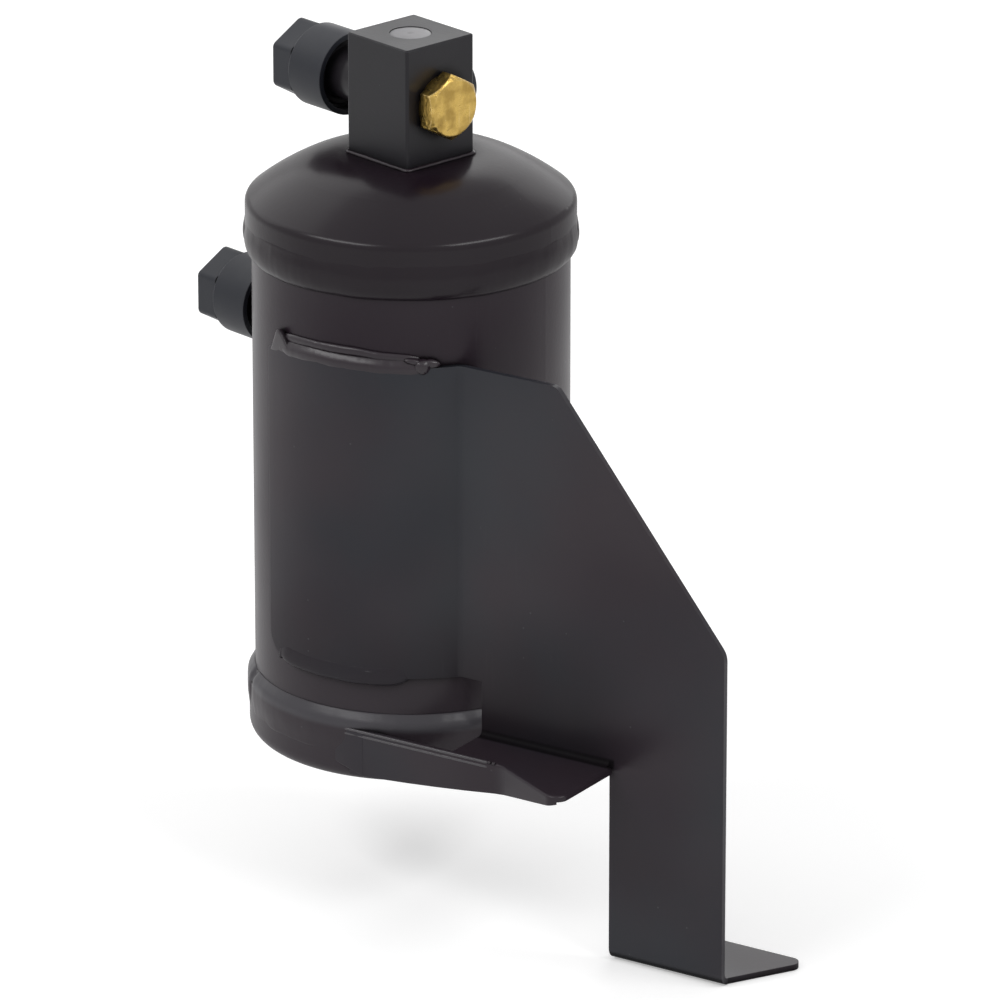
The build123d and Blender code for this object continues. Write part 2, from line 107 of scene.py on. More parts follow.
@dataclass
class NodeTree:
    """A short way to add nodes and links to one shader node tree.

    Args:
        tree: The node tree.
    """

    tree: bpy.types.NodeTree

    def add(self, kind: str, **settings: object) -> Node:
        """Add a node.

        Args:
            kind: The node's type name.
            settings: Attributes to set on the node.

        Returns:
            The new node.
        """
        node = self.tree.nodes.new(kind)
        for name, value in settings.items():
            setattr(node, name, value)
        return node

    def link(self, source: Socket, target: Socket) -> None:
        """Join an output socket to an input socket."""
        self.tree.links.new(source, target)

    def maths(self, operation: str, first: object, second: object, clamp: bool = False) -> Socket:
        """Add a Math node.

        Args:
            operation: The node's operation.
            first: A socket or a number.
            second: A socket or a number.
            clamp: True to hold the result between 0 and 1.

        Returns:
            The node's output socket.
        """
        node = self.add("ShaderNodeMath", operation=operation, use_clamp=clamp)
        self.fill(node, {0: first, 1: second})
        return node.outputs[0]

    def times(self, first: Socket, *others: object) -> Socket:
        """Multiply one socket by others in turn.

        Args:
            first: The socket.
            others: Sockets or numbers.

        Returns:
            The product's socket.
        """
        for other in others:
            first = self.maths("MULTIPLY", first, other)
        return first

    def vector(self, operation: str, output: str, *values: object) -> Socket:
        """Add a Vector Math node.

        Args:
            operation: The node's operation.
            output: The name of the output that is wanted.
            values: A socket or three numbers for each input.

        Returns:
            The output socket.
        """
        node = self.add("ShaderNodeVectorMath", operation=operation)
        self.fill(node, dict(enumerate(values)))
        return node.outputs[output]

    def fill(self, node: Node, values: dict[str | int, object]) -> None:
        """Put values into a node's inputs.

        Args:
            node: The node.
            values: A number, a colour or a socket for each input's name or place.
        """
        for key, value in values.items():
            self.feed(value, node.inputs[key])

    def feed(self, value: object, socket: Socket) -> None:
        """Put a value into a socket.

        Args:
            value: A number, a colour or another socket.
            socket: The socket that takes it.
        """
        if isinstance(value, Socket):
            self.link(value, socket)
        else:
            socket.default_value = value

    def remap(
            self, value: Socket, low: float, high: float, to_low: float = 0.0, to_high: float = 1.0
    ) -> Socket:
        """Map a range of values smoothly onto another.

        Args:
            value: The socket to map.
            low: The value that becomes to_low.
            high: The value that becomes to_high.
            to_low: The result at low and below.
            to_high: The result at high and above.

        Returns:
            The mapped output socket.
        """
        node = self.add("ShaderNodeMapRange", interpolation_type="SMOOTHSTEP")
        self.fill(node, {
            "Value": value, "From Min": low, "From Max": high, "To Min": to_low, "To Max": to_high})
        return node.outputs["Result"]

    def mix(self, factor: object, first: object, second: object) -> Socket:
        """Mix two colours.

        Args:
            factor: A socket or a number, 0 for the first colour.
            first: A socket or an RGB colour.
            second: A socket or an RGB colour.

        Returns:
            The mixed colour's socket.
        """
        node = self.add("ShaderNodeMix", data_type="RGBA")
        self.feed(factor, node.inputs["Factor"])
        for name, value in (("A", first), ("B", second)):
            socket = [s for s in node.inputs if s.name == name and s.type == "RGBA"][0]
            self.feed(value if isinstance(value, Socket) else (*value, 1.0), socket)
        return [s for s in node.outputs if s.type == "RGBA"][0]

    def noise(self, scale: float, detail: float, lay: Lay = Lay.ALL_WAYS) -> Socket:
        """Add noise on Object coordinates.

        Args:
            scale: The noise's scale, per metre.
            detail: The noise's detail.
            lay: The way that it is drawn out.

        Returns:
            The noise's value socket.
        """
        mapping = self.add("ShaderNodeMapping")
        self.fill(mapping, {
            "Vector": self.place(), "Rotation": (0.0, 0.0, -PORT_TURN), "Scale": lay.value})
        texture = self.add("ShaderNodeTexNoise")
        self.fill(texture, {"Vector": mapping.outputs["Vector"], "Scale": scale, "Detail": detail})
        return texture.outputs["Fac"]

    def place(self) -> Socket:
        """Return the Object coordinates."""
        return self.add("ShaderNodeTexCoord").outputs["Object"]

    def along(self, axis: str) -> Socket:
        """Return the Object coordinate along one axis."""
        split = self.add("ShaderNodeSeparateXYZ")
        self.link(self.place(), split.inputs["Vector"])
        return split.outputs[axis]


@dataclass
class SharedEffect:
    """A shader node group that several finishes use.

    Args:
        name: The group's name.
        inputs: The names of its inputs, each with its usual number.
        outputs: The names of its outputs, each with its socket's type.
        build: The function that fills it.
        group: The group, once it is built.
    """

    name: str
    inputs: dict[str, float]
    outputs: dict[str, str]
    build: Callable[[NodeTree, Node, Node], None]
    group: bpy.types.NodeTree | None = field(default=None, init=False)

    def tree(self) -> bpy.types.NodeTree:
        """Return the group, built the first time that it is asked for."""
        if self.group is None:
            self.group = bpy.data.node_groups.new(self.name, "ShaderNodeTree")
            sockets = self.group.interface
            for name, value in self.inputs.items():
                socket = sockets.new_socket(name, in_out="INPUT", socket_type="NodeSocketFloat")
                socket.default_value = value
            for name, kind in self.outputs.items():
                sockets.new_socket(name, in_out="OUTPUT", socket_type=kind)
            nodes = NodeTree(self.group)
            self.build(nodes, nodes.add("NodeGroupInput"), nodes.add("NodeGroupOutput"))
        return self.group

    def use(self, nodes: NodeTree, **values: float) -> Node:
        """Place the group in a material.

        Args:
            nodes: The material's nodes.
            values: Numbers for the group's inputs.

        Returns:
            The group node.
        """
        node = nodes.add("ShaderNodeGroup", node_tree=self.tree())
        nodes.fill(node, values)
        return node


def build_edges(nodes: NodeTree, source: Node, target: Node) -> None:
    """Rounded edges: a normal that is rounded at edges, and a mask that is 1 on them.

    Args:
        nodes: The group's nodes.
        source: The group's input node.
        target: The group's output node.
    """
    bevel = nodes.add("ShaderNodeBevel", samples=6)
    nodes.link(source.outputs["Radius"], bevel.inputs["Radius"])
    surface = nodes.add("ShaderNodeNewGeometry")
    facing = nodes.vector("DOT_PRODUCT", "Value", bevel.outputs["Normal"], surface.outputs["Normal"])
    edge = nodes.remap(facing, *EDGE_BAND, 1.0, 0.0)
    nodes.fill(target, {"Normal": bevel.outputs["Normal"], "Edge": edge})


def build_painted_hollow_shade(nodes: NodeTree, source: Node, target: Node) -> None:
    """Painted shade in hollows: a mask that is 1 where surfaces meet in a hollow.

    Args:
        nodes: The group's nodes.
        source: The group's input node.
        target: The group's output node.
    """
    hollow = nodes.add("ShaderNodeAmbientOcclusion", samples=8)
    nodes.link(source.outputs["Distance"], hollow.inputs["Distance"])
    nodes.link(nodes.remap(hollow.outputs["AO"], *HOLLOW_BAND, 1.0, 0.0), target.inputs["Crevice"])


def build_specks(nodes: NodeTree, source: Node, target: Node) -> None:
    """Small scattered specks of dust or pits.

    Args:
        nodes: The group's nodes.
        source: The group's input node.
        target: The group's output node.
    """
    cells = nodes.add("ShaderNodeTexVoronoi")
    nodes.fill(cells, {"Scale": source.outputs["Scale"], "Vector": nodes.place()})
    dot = nodes.remap(cells.outputs["Distance"], *SPECK_BAND, 1.0, 0.0)
    split = nodes.add("ShaderNodeSeparateColor")
    nodes.link(cells.outputs["Color"], split.inputs["Color"])
    chosen = nodes.maths("LESS_THAN", split.outputs["Red"], source.outputs["Share"])
    nodes.link(nodes.times(dot, chosen), target.inputs["Specks"])


def build_scuffs(nodes: NodeTree, source: Node, target: Node) -> None:
    """Faint broken scuffs: drawn-out noise, shown in patches.

    Args:
        nodes: The group's nodes.
        source: The group's input node.
        target: The group's output node.
    """
    lines = nodes.remap(nodes.noise(SCUFF_SCALE, 3.0, Lay.UPRIGHT), *SCUFF_BAND)
    patch = nodes.remap(nodes.noise(PATCH_SCALE, 2.0), *PATCH_BAND)
    amount = nodes.maths("MULTIPLY", nodes.times(lines, patch), source.outputs["Amount"], clamp=True)
    nodes.link(amount, target.inputs["Scuffs"])


EDGES = SharedEffect(
    "rounded_edges", {"Radius": 0.0004}, {"Normal": "NodeSocketVector", "Edge": "NodeSocketFloat"},
    build_edges)
# Painted shade in hollows, found by ambient occlusion
PAINTED_HOLLOW_SHADE = SharedEffect("crevices", {"Distance": 0.004}, {"Crevice": "NodeSocketFloat"}, build_painted_hollow_shade)
SPECKS = SharedEffect("specks", {"Scale": 500.0, "Share": 0.1}, {"Specks": "NodeSocketFloat"}, build_specks)
SCUFFS = SharedEffect("scuffs", {"Amount": 1.0}, {"Scuffs": "NodeSocketFloat"}, build_scuffs)


@dataclass(frozen=True)
class Finish:
    """A surface finish: colour, gloss, edges with wear and painted highlight, specks, scuffs, painted shade
    in hollows and fine relief.

    Args:
        name: The material's name.
        colour: The main colour.
        second: The colour that mottles it.
        worn: The colour that shows on edges, as wear and as painted highlight.
        roughness: The main roughness.
        rough_swing: How far the mottle moves the roughness.
        metallic: 1 for bare metal.
        specular: The specular level.
        coat: The weight of the gloss coat over the colour.
        coat_roughness: The gloss coat's roughness.
        mottle_scale: The scale of the mottle, per metre.
        edge_radius: The radius of the rounded edges, in metres.
        edge_wear_and_highlight: How much of that colour shows on edges.
        grain_scale: The scale of the fine relief, per metre.
        grain_depth: The depth of the fine relief, in metres.
        lay: The way that the fine lines run.
        speck_share: The share of specks, from 0 to 1.
        scuffs: The strength of the scuffs.
        hollow_reach: How far apart surfaces can be and still make a hollow, in metres.
        hollow_shade: How much of the painted shade colour shows in hollows.
        shade_colour: The colour of the painted shade in hollows.
        tone_scale: The scale at which the gloss coat's weight drifts, per metre.
        tone_swing: How far it drifts, as a share.
    """

    name: str
    colour: Colour
    second: Colour
    worn: Colour
    roughness: float
    rough_swing: float = 0.1
    metallic: float = 0.0
    specular: float = 0.5
    coat: float = 0.0
    coat_roughness: float = 0.3
    mottle_scale: float = 55.0
    edge_radius: float = 0.0004
    edge_wear_and_highlight: float = 0.4
    grain_scale: float = 1500.0
    grain_depth: float = 0.00002
    lay: Lay = Lay.ALL_WAYS
    speck_share: float = 0.03
    scuffs: float = 0.1
    hollow_reach: float = 0.004
    hollow_shade: float = 0.7
    shade_colour: Colour = (0.003, 0.003, 0.003)
    tone_scale: float = 16.0
    tone_swing: float = 0.25

    def material(self) -> bpy.types.Material:
        """Return the finish's material, made the first time that it is asked for."""
        found = bpy.data.materials.get(self.name)
        if found is not None:
            return found
        material = bpy.data.materials.new(self.name)
        material.use_nodes = True
        nodes = NodeTree(material.node_tree)
        shader = material.node_tree.nodes["Principled BSDF"]
        nodes.fill(shader, {
            "Specular IOR Level": self.specular, "Metallic": self.metallic,
            "Coat Roughness": self.coat_roughness})
        self.paint(nodes, shader)
        return material

    def tint(self, nodes: NodeTree, mottle: Socket) -> Socket:
        """Return the colour before wear: the two main colours, mixed by the mottle's mask."""
        return nodes.mix(mottle, self.colour, self.second)

    def hollows(self, nodes: NodeTree) -> Socket:
        """Return a mask that is 1 in the surface's hollows, where shade is painted."""
        return PAINTED_HOLLOW_SHADE.use(nodes, Distance=self.hollow_reach).outputs["Crevice"]

    def paint(self, nodes: NodeTree, shader: Node) -> None:
        """Wire the finish's colour, with painted shade in hollows and painted highlight on edges, and its
        roughness and relief into the shader.

        Args:
            nodes: The material's nodes.
            shader: The material's surface shader.
        """
        edges = EDGES.use(nodes, Radius=self.edge_radius)
        specks = SPECKS.use(nodes, Share=self.speck_share)
        scuffs = SCUFFS.use(nodes, Amount=self.scuffs)
        mottle = nodes.remap(nodes.noise(self.mottle_scale, 5.0), *MOTTLE_BAND)
        broken = nodes.remap(nodes.noise(BROKEN_SCALE, 5.0), *BROKEN_BAND)
        shade_mask = self.hollows(nodes)
        unshaded = nodes.maths("SUBTRACT", 1.0, shade_mask)
        # Edges take the lighter colour, partly as wear and partly as painted highlight
        worn = nodes.times(broken, self.edge_wear_and_highlight, edges.outputs["Edge"], unshaded)
        scuffed = nodes.times(scuffs.outputs["Scuffs"], SCUFF_COLOUR)
        specked = nodes.times(specks.outputs["Specks"], SPECK_COLOUR)
        # Painted shade: the colour darkens towards the shade colour in the hollows
        colour = nodes.mix(nodes.times(shade_mask, self.hollow_shade), self.tint(nodes, mottle), self.shade_colour)
        for mask in (scuffed, specked, worn):
            colour = nodes.mix(mask, colour, self.worn)
        rough = nodes.maths("ADD", nodes.times(mottle, self.rough_swing), self.roughness)
        rubbed = nodes.times(scuffs.outputs["Scuffs"], SCUFF_ROUGHNESS)
        rough = nodes.maths("ADD", rough, rubbed, clamp=True)
        if self.coat > 0.0:
            drift = nodes.noise(self.tone_scale, 2.0)
            tone = nodes.remap(drift, *TONE_BAND, 1.0 - self.tone_swing, 1.0 + self.tone_swing)
            # Painted shade: the gloss coat is taken away in the hollows
            nodes.link(nodes.times(tone, unshaded, self.coat), shader.inputs["Coat Weight"])
        bump = nodes.add("ShaderNodeBump")
        grain = nodes.noise(self.grain_scale, 3.0, self.lay)
        nodes.fill(bump, {
            "Distance": self.grain_depth, "Height": grain, "Normal": edges.outputs["Normal"]})
        nodes.fill(shader, {"Base Color": colour, "Roughness": rough, "Normal": bump.outputs["Normal"]})


@dataclass(frozen=True)
class DiscFinish(Finish):
    """A finish with a small dark smudge at one place.

    Args:
        middle: The smudge's middle, in metres.
        smudge: The smudge's radius, in metres.
        dark: The smudge's colour.
        strength: How much of that colour shows in its middle.
        spread: How many times its radius it takes to fade out.
        ragged_scale: The scale of its ragged edge, per metre.
    """

    middle: Place = (0.0, 0.0, 0.0)
    smudge: float = 0.0009
    dark: Colour = (0.05, 0.05, 0.055)
    strength: float = 0.5
    spread: float = 1.7
    ragged_scale: float = 1600.0

    def tint(self, nodes: NodeTree, mottle: Socket) -> Socket:
        """Add the smudge over the mottled colours.

        Args:
            nodes: The material's nodes.
            mottle: The mottle's mask.

        Returns:
            The colour before wear.
        """
        reach = nodes.vector("DISTANCE", "Value", nodes.place(), self.middle)
        ragged = nodes.times(nodes.noise(self.ragged_scale, 3.0), self.smudge)
        edge = nodes.maths("ADD", reach, ragged)
        mask = nodes.remap(edge, self.smudge, self.spread * self.smudge, self.strength, 0.0)
        return nodes.mix(mask, super().tint(nodes, mottle), self.dark)


@dataclass(frozen=True)
class LowLitFinish(Finish):
    """A finish that is paler low down, as painted light.

    Args:
        low_lit_colour: The colour at the foot, paler as painted light.
        low: The height, in metres, below which it is that colour.
        high: The height above which it is the main colours.
    """

    low_lit_colour: Colour = (0.02, 0.02, 0.02)
    low: float = 0.04
    high: float = 0.13

    def tint(self, nodes: NodeTree, mottle: Socket) -> Socket:
        """Return the mottled colours, paler low down as painted light."""
        # Painted light: the colour goes paler towards the foot
        fade = nodes.remap(nodes.along("Z"), self.low, self.high, 1.0, 0.0)
        return nodes.mix(fade, super().tint(nodes, mottle), self.low_lit_colour)


@dataclass(frozen=True)
class FoldShadedFinish(Finish):
    """A finish with painted shade along one straight fold: a dark line at the fold, and a soft fall-off of
    gloss and colour above it.

    Args:
        fold: The fold's place behind and above the origin, in metres.
        line: How far the painted dark line at the fold is full, in metres.
        line_spread: How many times that far it takes to fade out.
        reach: How far the soft painted shade above the fold reaches, in metres.
        soft: The strength of the soft painted shade.
        end: Where the fold stops along X, in metres.
        line_end: How far the line takes to fade out at that end, and the fall-off to come in, in metres.
        soft_end: How far each side of the fold's end the fall-off fades out, in metres.
    """

    fold: Pair = (-0.0131, 0.0501)
    line: float = 0.0009
    line_spread: float = 2.4
    reach: float = 0.042
    soft: float = 0.5
    end: float = -0.0139
    line_end: float = 0.001
    soft_end: float = 0.012

    def hollows(self, nodes: NodeTree) -> Socket:
        """Add the fold's painted shade, a dark line and a soft fall-off, to the mask of painted shade in
        hollows.

        Args:
            nodes: The material's nodes.

        Returns:
            A mask that is 1 in the surface's hollows.
        """
        away = nodes.vector("SUBTRACT", "Vector", nodes.place(), (0.0, *self.fold))
        across = nodes.vector("MULTIPLY", "Vector", away, (0.0, 1.0, 1.0))
        far = nodes.vector("LENGTH", "Value", across)
        foot = self.fold[1]
        line = nodes.remap(far, self.line, self.line_spread * self.line, 1.0, 0.0)
        before = nodes.remap(nodes.along("X"), self.end - self.line_end, self.end, 1.0, 0.0)
        soft = nodes.remap(far, 0.0, self.reach, self.soft, 0.0)
        beside = nodes.remap(nodes.along("X"), self.end - self.soft_end, self.end + self.soft_end, 1.0, 0.0)
        above = nodes.remap(nodes.along("Z"), foot, foot + self.line_end)
        # Painted shade: a dark line at the fold, and a soft shade above it
        fold = nodes.maths("MAXIMUM", nodes.times(line, before), nodes.times(soft, beside, above))
        return nodes.maths("MAXIMUM", super().hollows(nodes), fold)


@dataclass(frozen=True)
class HighlightBandFinish(LowLitFinish):
    """A finish that is paler low down as painted light, with a painted highlight band round the can.

    Args:
        highlight_colour: The colour of the painted highlight band.
        band: The heights between which it is full, in metres.
        band_edge: How far it takes to fade out above, in metres. Below, it takes twice as far.
    """

    highlight_colour: Colour = (0.055, 0.052, 0.059)
    band: Pair = (0.0507, 0.0535)
    band_edge: float = 0.0008

    def tint(self, nodes: NodeTree, mottle: Socket) -> Socket:
        """Add the painted highlight band over the colours.

        Args:
            nodes: The material's nodes.
            mottle: The mottle's mask.

        Returns:
            The colour before wear.
        """
        low, high = self.band
        rise = nodes.remap(nodes.along("Z"), low - 2.0 * self.band_edge, low)
        fall = nodes.remap(nodes.along("Z"), high, high + self.band_edge, 1.0, 0.0)
        # Painted highlight: a paler band round the can
        return nodes.mix(nodes.times(rise, fall), super().tint(nodes, mottle), self.highlight_colour)


# The can's black paint: its two main colours, the colour of wear and painted highlight that shows on edges,
# and its colour low down, paler as painted light bounced from the floor
CAN_BLACK = (0.0125, 0.0064, 0.0115)
CAN_BLACK_MOTTLE = (0.0140, 0.0082, 0.0132)
WEAR_AND_HIGHLIGHT_BLACK = (0.10, 0.10, 0.105)
LOW_LIT_BLACK = (0.0300, 0.0235, 0.0290)

SATIN_PAINT = LowLitFinish(
    "satin_black_paint", CAN_BLACK, CAN_BLACK_MOTTLE, WEAR_AND_HIGHLIGHT_BLACK, 0.46, 0.06, specular=0.06, coat=0.32,
    coat_roughness=0.27, mottle_scale=24.0, edge_radius=0.00045, edge_wear_and_highlight=0.14, grain_scale=900.0,
    grain_depth=0.00003, low_lit_colour=LOW_LIT_BLACK)
# The can's paint made paler on the bracket's sheet as painted light, with painted shade along the shelf's
# fold
SHEET_LIT_PAINT = FoldShadedFinish(
    "satin_black_paint_lit_on_sheet", (0.0250, 0.0180, 0.0235), (0.0190, 0.0205, 0.0265), WEAR_AND_HIGHLIGHT_BLACK, 0.46, 0.06,
    specular=0.03, coat=0.44, coat_roughness=0.28, mottle_scale=13.0, edge_radius=0.00045, edge_wear_and_highlight=0.14,
    grain_scale=900.0, grain_depth=0.00003, hollow_shade=0.8)
# The can's paint made darker on the dome and the upper girth as painted shade, with a sharper gloss coat
DOME_SHADED_PAINT = replace(
    SATIN_PAINT, name="satin_black_paint_shaded_on_dome", colour=(0.0080, 0.0042, 0.0074),
    second=(0.0092, 0.0054, 0.0087), specular=0.03, coat=0.35, coat_roughness=0.22)
# The lower girth's paint, with a painted highlight band just below its toe
GIRTH_PAINT = HighlightBandFinish(
    "satin_black_paint_on_girths", CAN_BLACK, CAN_BLACK_MOTTLE, WEAR_AND_HIGHLIGHT_BLACK, 0.46, 0.06, specular=0.06,
    coat=0.32, coat_roughness=0.27, mottle_scale=24.0, edge_radius=0.0003, edge_wear_and_highlight=0.05,
    grain_scale=900.0, grain_depth=0.00003, low_lit_colour=LOW_LIT_BLACK, hollow_reach=0.002)
WELD_PAINT = LowLitFinish(
    "weld_black_paint", CAN_BLACK, CAN_BLACK_MOTTLE, WEAR_AND_HIGHLIGHT_BLACK, 0.42, 0.08, specular=0.06, coat=0.5,
    coat_roughness=0.28, edge_radius=0.0003, edge_wear_and_highlight=0.05, grain_scale=1400.0, grain_depth=0.00004,
    low_lit_colour=LOW_LIT_BLACK, hollow_reach=0.002)
# The weld paint made paler on the saddle's upper bead as painted highlight, and glossier
RIDGE_LIT_PAINT = replace(
    WELD_PAINT, name="ridge_black_paint_lit", colour=(0.0145, 0.0085, 0.0135),
    second=(0.0160, 0.0102, 0.0152), coat=0.75)
# The weld paint made pale low down on the lip's raised lines, as a painted highlight along its edge
RIM_HIGHLIGHT_PAINT = replace(WELD_PAINT, name="rim_black_paint_painted_highlight", low_lit_colour=(0.052, 0.047, 0.053), coat=0.8)
# The block's edges take more of the lighter edge colour, as wear and as painted highlight
BLOCK_PAINT = Finish(
    "machined_block_paint", (0.0085, 0.0078, 0.0105), (0.0115, 0.0105, 0.0135), (0.16, 0.16, 0.17), 0.42,
    0.06, specular=0.12, coat=0.22, coat_roughness=0.28, edge_radius=0.0003, edge_wear_and_highlight=0.3,
    grain_scale=2600.0, grain_depth=0.00003, lay=Lay.ACROSS_BLOCK)
GLOSS_PAINT = Finish(
    "gloss_black_paint", (0.010, 0.008, 0.011), (0.013, 0.011, 0.014), (0.12, 0.12, 0.125), 0.34, 0.08,
    specular=0.14, coat=0.3, coat_roughness=0.18, edge_radius=0.0003, edge_wear_and_highlight=0.2, grain_scale=900.0,
    grain_depth=0.00002)
CAP_PLASTIC = Finish(
    "matt_black_plastic", (0.0110, 0.0125, 0.0180), (0.0140, 0.0155, 0.0215), (0.05, 0.05, 0.055), 0.48, 0.1,
    specular=0.26, coat=0.08, coat_roughness=0.3, edge_radius=0.0004, edge_wear_and_highlight=0.12, grain_scale=2500.0,
    grain_depth=0.00002)
BRASS = Finish(
    "worn_brass", (0.50, 0.34, 0.095), (0.35, 0.23, 0.060), (0.86, 0.68, 0.36), 0.24, 0.2, metallic=1.0,
    mottle_scale=300.0, edge_radius=0.0005, edge_wear_and_highlight=0.8, grain_scale=700.0, grain_depth=0.00030,
    speck_share=0.2, scuffs=1.6, shade_colour=(0.10, 0.065, 0.02))
PLAIN_STEEL = Finish(
    "plain_steel", (0.45, 0.45, 0.45), (0.38, 0.38, 0.39), (0.6, 0.6, 0.6), 0.35, 0.1, metallic=1.0)
RUBBER = Finish("black_rubber", (0.018, 0.018, 0.018), (0.024, 0.024, 0.024), (0.05, 0.05, 0.05), 0.7)
GLASS = DiscFinish(
    "pale_sight_glass", (0.105, 0.102, 0.110), (0.15, 0.147, 0.156), (0.3, 0.3, 0.31), 0.3, 0.1, specular=0.4,
    mottle_scale=500.0, edge_radius=0.0002, grain_scale=700.0, grain_depth=0.00002, scuffs=0.3, hollow_shade=0.2,
    middle=(CAN_X * MM, CAN_Y * MM, BLOCK_TOP * MM))
FELT = Finish(
    "cream_felt", (0.70, 0.67, 0.58), (0.60, 0.57, 0.48), (0.8, 0.78, 0.7), 0.95, 0.04, grain_scale=1800.0,
    grain_depth=0.0004)
BEADS = Finish(
    "drying_beads", (0.66, 0.55, 0.36), (0.58, 0.46, 0.28), (0.8, 0.7, 0.5), 0.75, 0.1, grain_scale=600.0,
    grain_depth=0.0008)


def dress(node: str, finish: Finish) -> None:
    """Give a CAD node a finish.

    Args:
        node: The node's name.
        finish: The finish that it gets.
    """
    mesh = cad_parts[node].data
    mesh.materials.clear()
    mesh.materials.append(finish.material())
    log.info("%s dressed with %s", node, finish.name)


def round_can(angle: float, radius: float, height: float) -> Vector:
    """Work out a place round the can.

    Args:
        angle: Degrees round the can from the plate's normal, towards the plate.
        radius: Millimetres from the can's axis.
        height: Millimetres above the foot.

    Returns:
        The place, in metres.
    """
    turn = math.radians(angle)
    return Vector((CAN_X + radius * math.sin(turn), CAN_Y - radius * math.cos(turn), height)) * MM


def begin(name: str, add: Callable[..., object], **settings: object) -> Piece:
    """Deselect everything and add a primitive.

    Args:
        name: The new piece's name.
        add: The operator that adds the primitive.
        settings: What the operator is given.

    Returns:
        The new object, selected and active.
    """
    bpy.ops.object.select_all(action="DESELECT")
    add(**settings)
    piece = bpy.context.object
    piece.name = name
    return piece


def activate(*pieces: Piece) -> None:
    """Select these pieces and no others, with the first as the active one.

    Args:
        pieces: The pieces.
    """
    bpy.ops.object.select_all(action="DESELECT")
    for piece in pieces:
        piece.select_set(True)
    bpy.context.view_layer.objects.active = pieces[0]


def select_mesh() -> None:
    """In edit mode, select the whole mesh."""
    bpy.ops.mesh.select_all(action="SELECT")


def edit(piece: Piece) -> None:
    """Enter edit mode on a piece with everything in it selected.

    Args:
        piece: The piece.
    """
    bpy.context.view_layer.objects.active = piece
    bpy.ops.object.mode_set(mode="EDIT")
    bpy.ops.mesh.select_mode(type="VERT")
    select_mesh()


def leave_edit() -> None:
    """Go back to object mode."""
    bpy.ops.object.mode_set(mode="OBJECT")


def close_mesh(fill: bool) -> None:
    """In edit mode, close the whole mesh, turn its faces outwards and go back to object mode.

    Args:
        fill: True to fill its open ends, or False to merge its doubled vertices.
    """
    select_mesh()
    if fill:
        bpy.ops.mesh.fill_holes(sides=0)
        select_mesh()
    else:
        bpy.ops.mesh.remove_doubles(threshold=MERGE)
    bpy.ops.mesh.normals_make_consistent(inside=False)
    leave_edit()


def pick(piece: Piece, chosen: Callable[[Vector], bool]) -> None:
    """In edit mode, select the vertices whose place passes a test, and nothing else.

    Args:
        piece: The piece.
        chosen: The test.
    """
    mesh = bmesh.from_edit_mesh(piece.data)
    for vert in mesh.verts:
        vert.select = chosen(vert.co)
    mesh.select_flush_mode()
    bmesh.update_edit_mesh(piece.data)


def pick_numbers(piece: Piece, numbers: Sequence[int]) -> None:
    """In edit mode, select the vertices with these numbers, and nothing else.

    Args:
        piece: The piece.
        numbers: The vertices' numbers.
    """
    mesh = bmesh.from_edit_mesh(piece.data)
    mesh.verts.ensure_lookup_table()
    for vert in mesh.verts:
        vert.select = False
    for number in numbers:
        mesh.verts[number].select = True
    mesh.select_flush_mode()
    bmesh.update_edit_mesh(piece.data)


def bake(piece: Piece, kind: str, **settings: object) -> None:
    """Add a modifier to a piece and apply it.

    Args:
        piece: The piece.
        kind: The modifier's type name.
        settings: Attributes to set on the modifier.
    """
    activate(piece)
    modifier = piece.modifiers.new(kind.lower(), kind)
    for name, value in settings.items():
        setattr(modifier, name, value)
    bpy.ops.object.modifier_apply(modifier=modifier.name)


def roughen(piece: Piece, size: float, depth: float) -> None:
    """Give a piece soft lumps.

    Args:
        piece: The piece.
        size: How wide the lumps are, in millimetres.
        depth: How deep they are, in millimetres.
    """
    clouds = bpy.data.textures.new("lumps", "CLOUDS")
    clouds.noise_scale = size * MM
    bake(piece, "DISPLACE", texture=clouds, texture_coords="LOCAL", strength=depth * MM, mid_level=0.5)


def smooth(piece: Piece) -> None:
    """Subdivide a piece once."""
    bake(piece, "SUBSURF", levels=1, render_levels=1)


def settle(piece: Piece) -> None:
    """Apply a piece's place, turn and scale, so that its object stands at the origin."""
    activate(piece)
    bpy.ops.object.transform_apply(location=True, rotation=True, scale=True)


def join(name: str, pieces: Sequence[Piece]) -> Piece:
    """Join pieces into one.

    Args:
        name: The joined piece's name.
        pieces: The pieces.

    Returns:
        The joined piece.
    """
    activate(*pieces)
    if len(pieces) > 1:
        bpy.ops.object.join()
    pieces[0].name = name
    return pieces[0]


def finish_piece(piece: Piece, finish: Finish, slot: str, *nodes: str) -> None:
    """Shade and dress a new piece, hang it under the root body, and hide the CAD nodes that it stands for.

    Args:
        piece: The piece.
        finish: Its finish.
        slot: The record's material slot that the finish belongs to; not used.
        nodes: The CAD nodes that it stands for.
    """
    settle(piece)
    bpy.ops.object.shade_smooth()
    piece.data.materials.clear()
    piece.data.materials.append(finish.material())
    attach(piece, "root")
    if nodes:
        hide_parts(*nodes)
    log.info("%s modelled with %s, %d faces", piece.name, finish.name, len(piece.data.polygons))


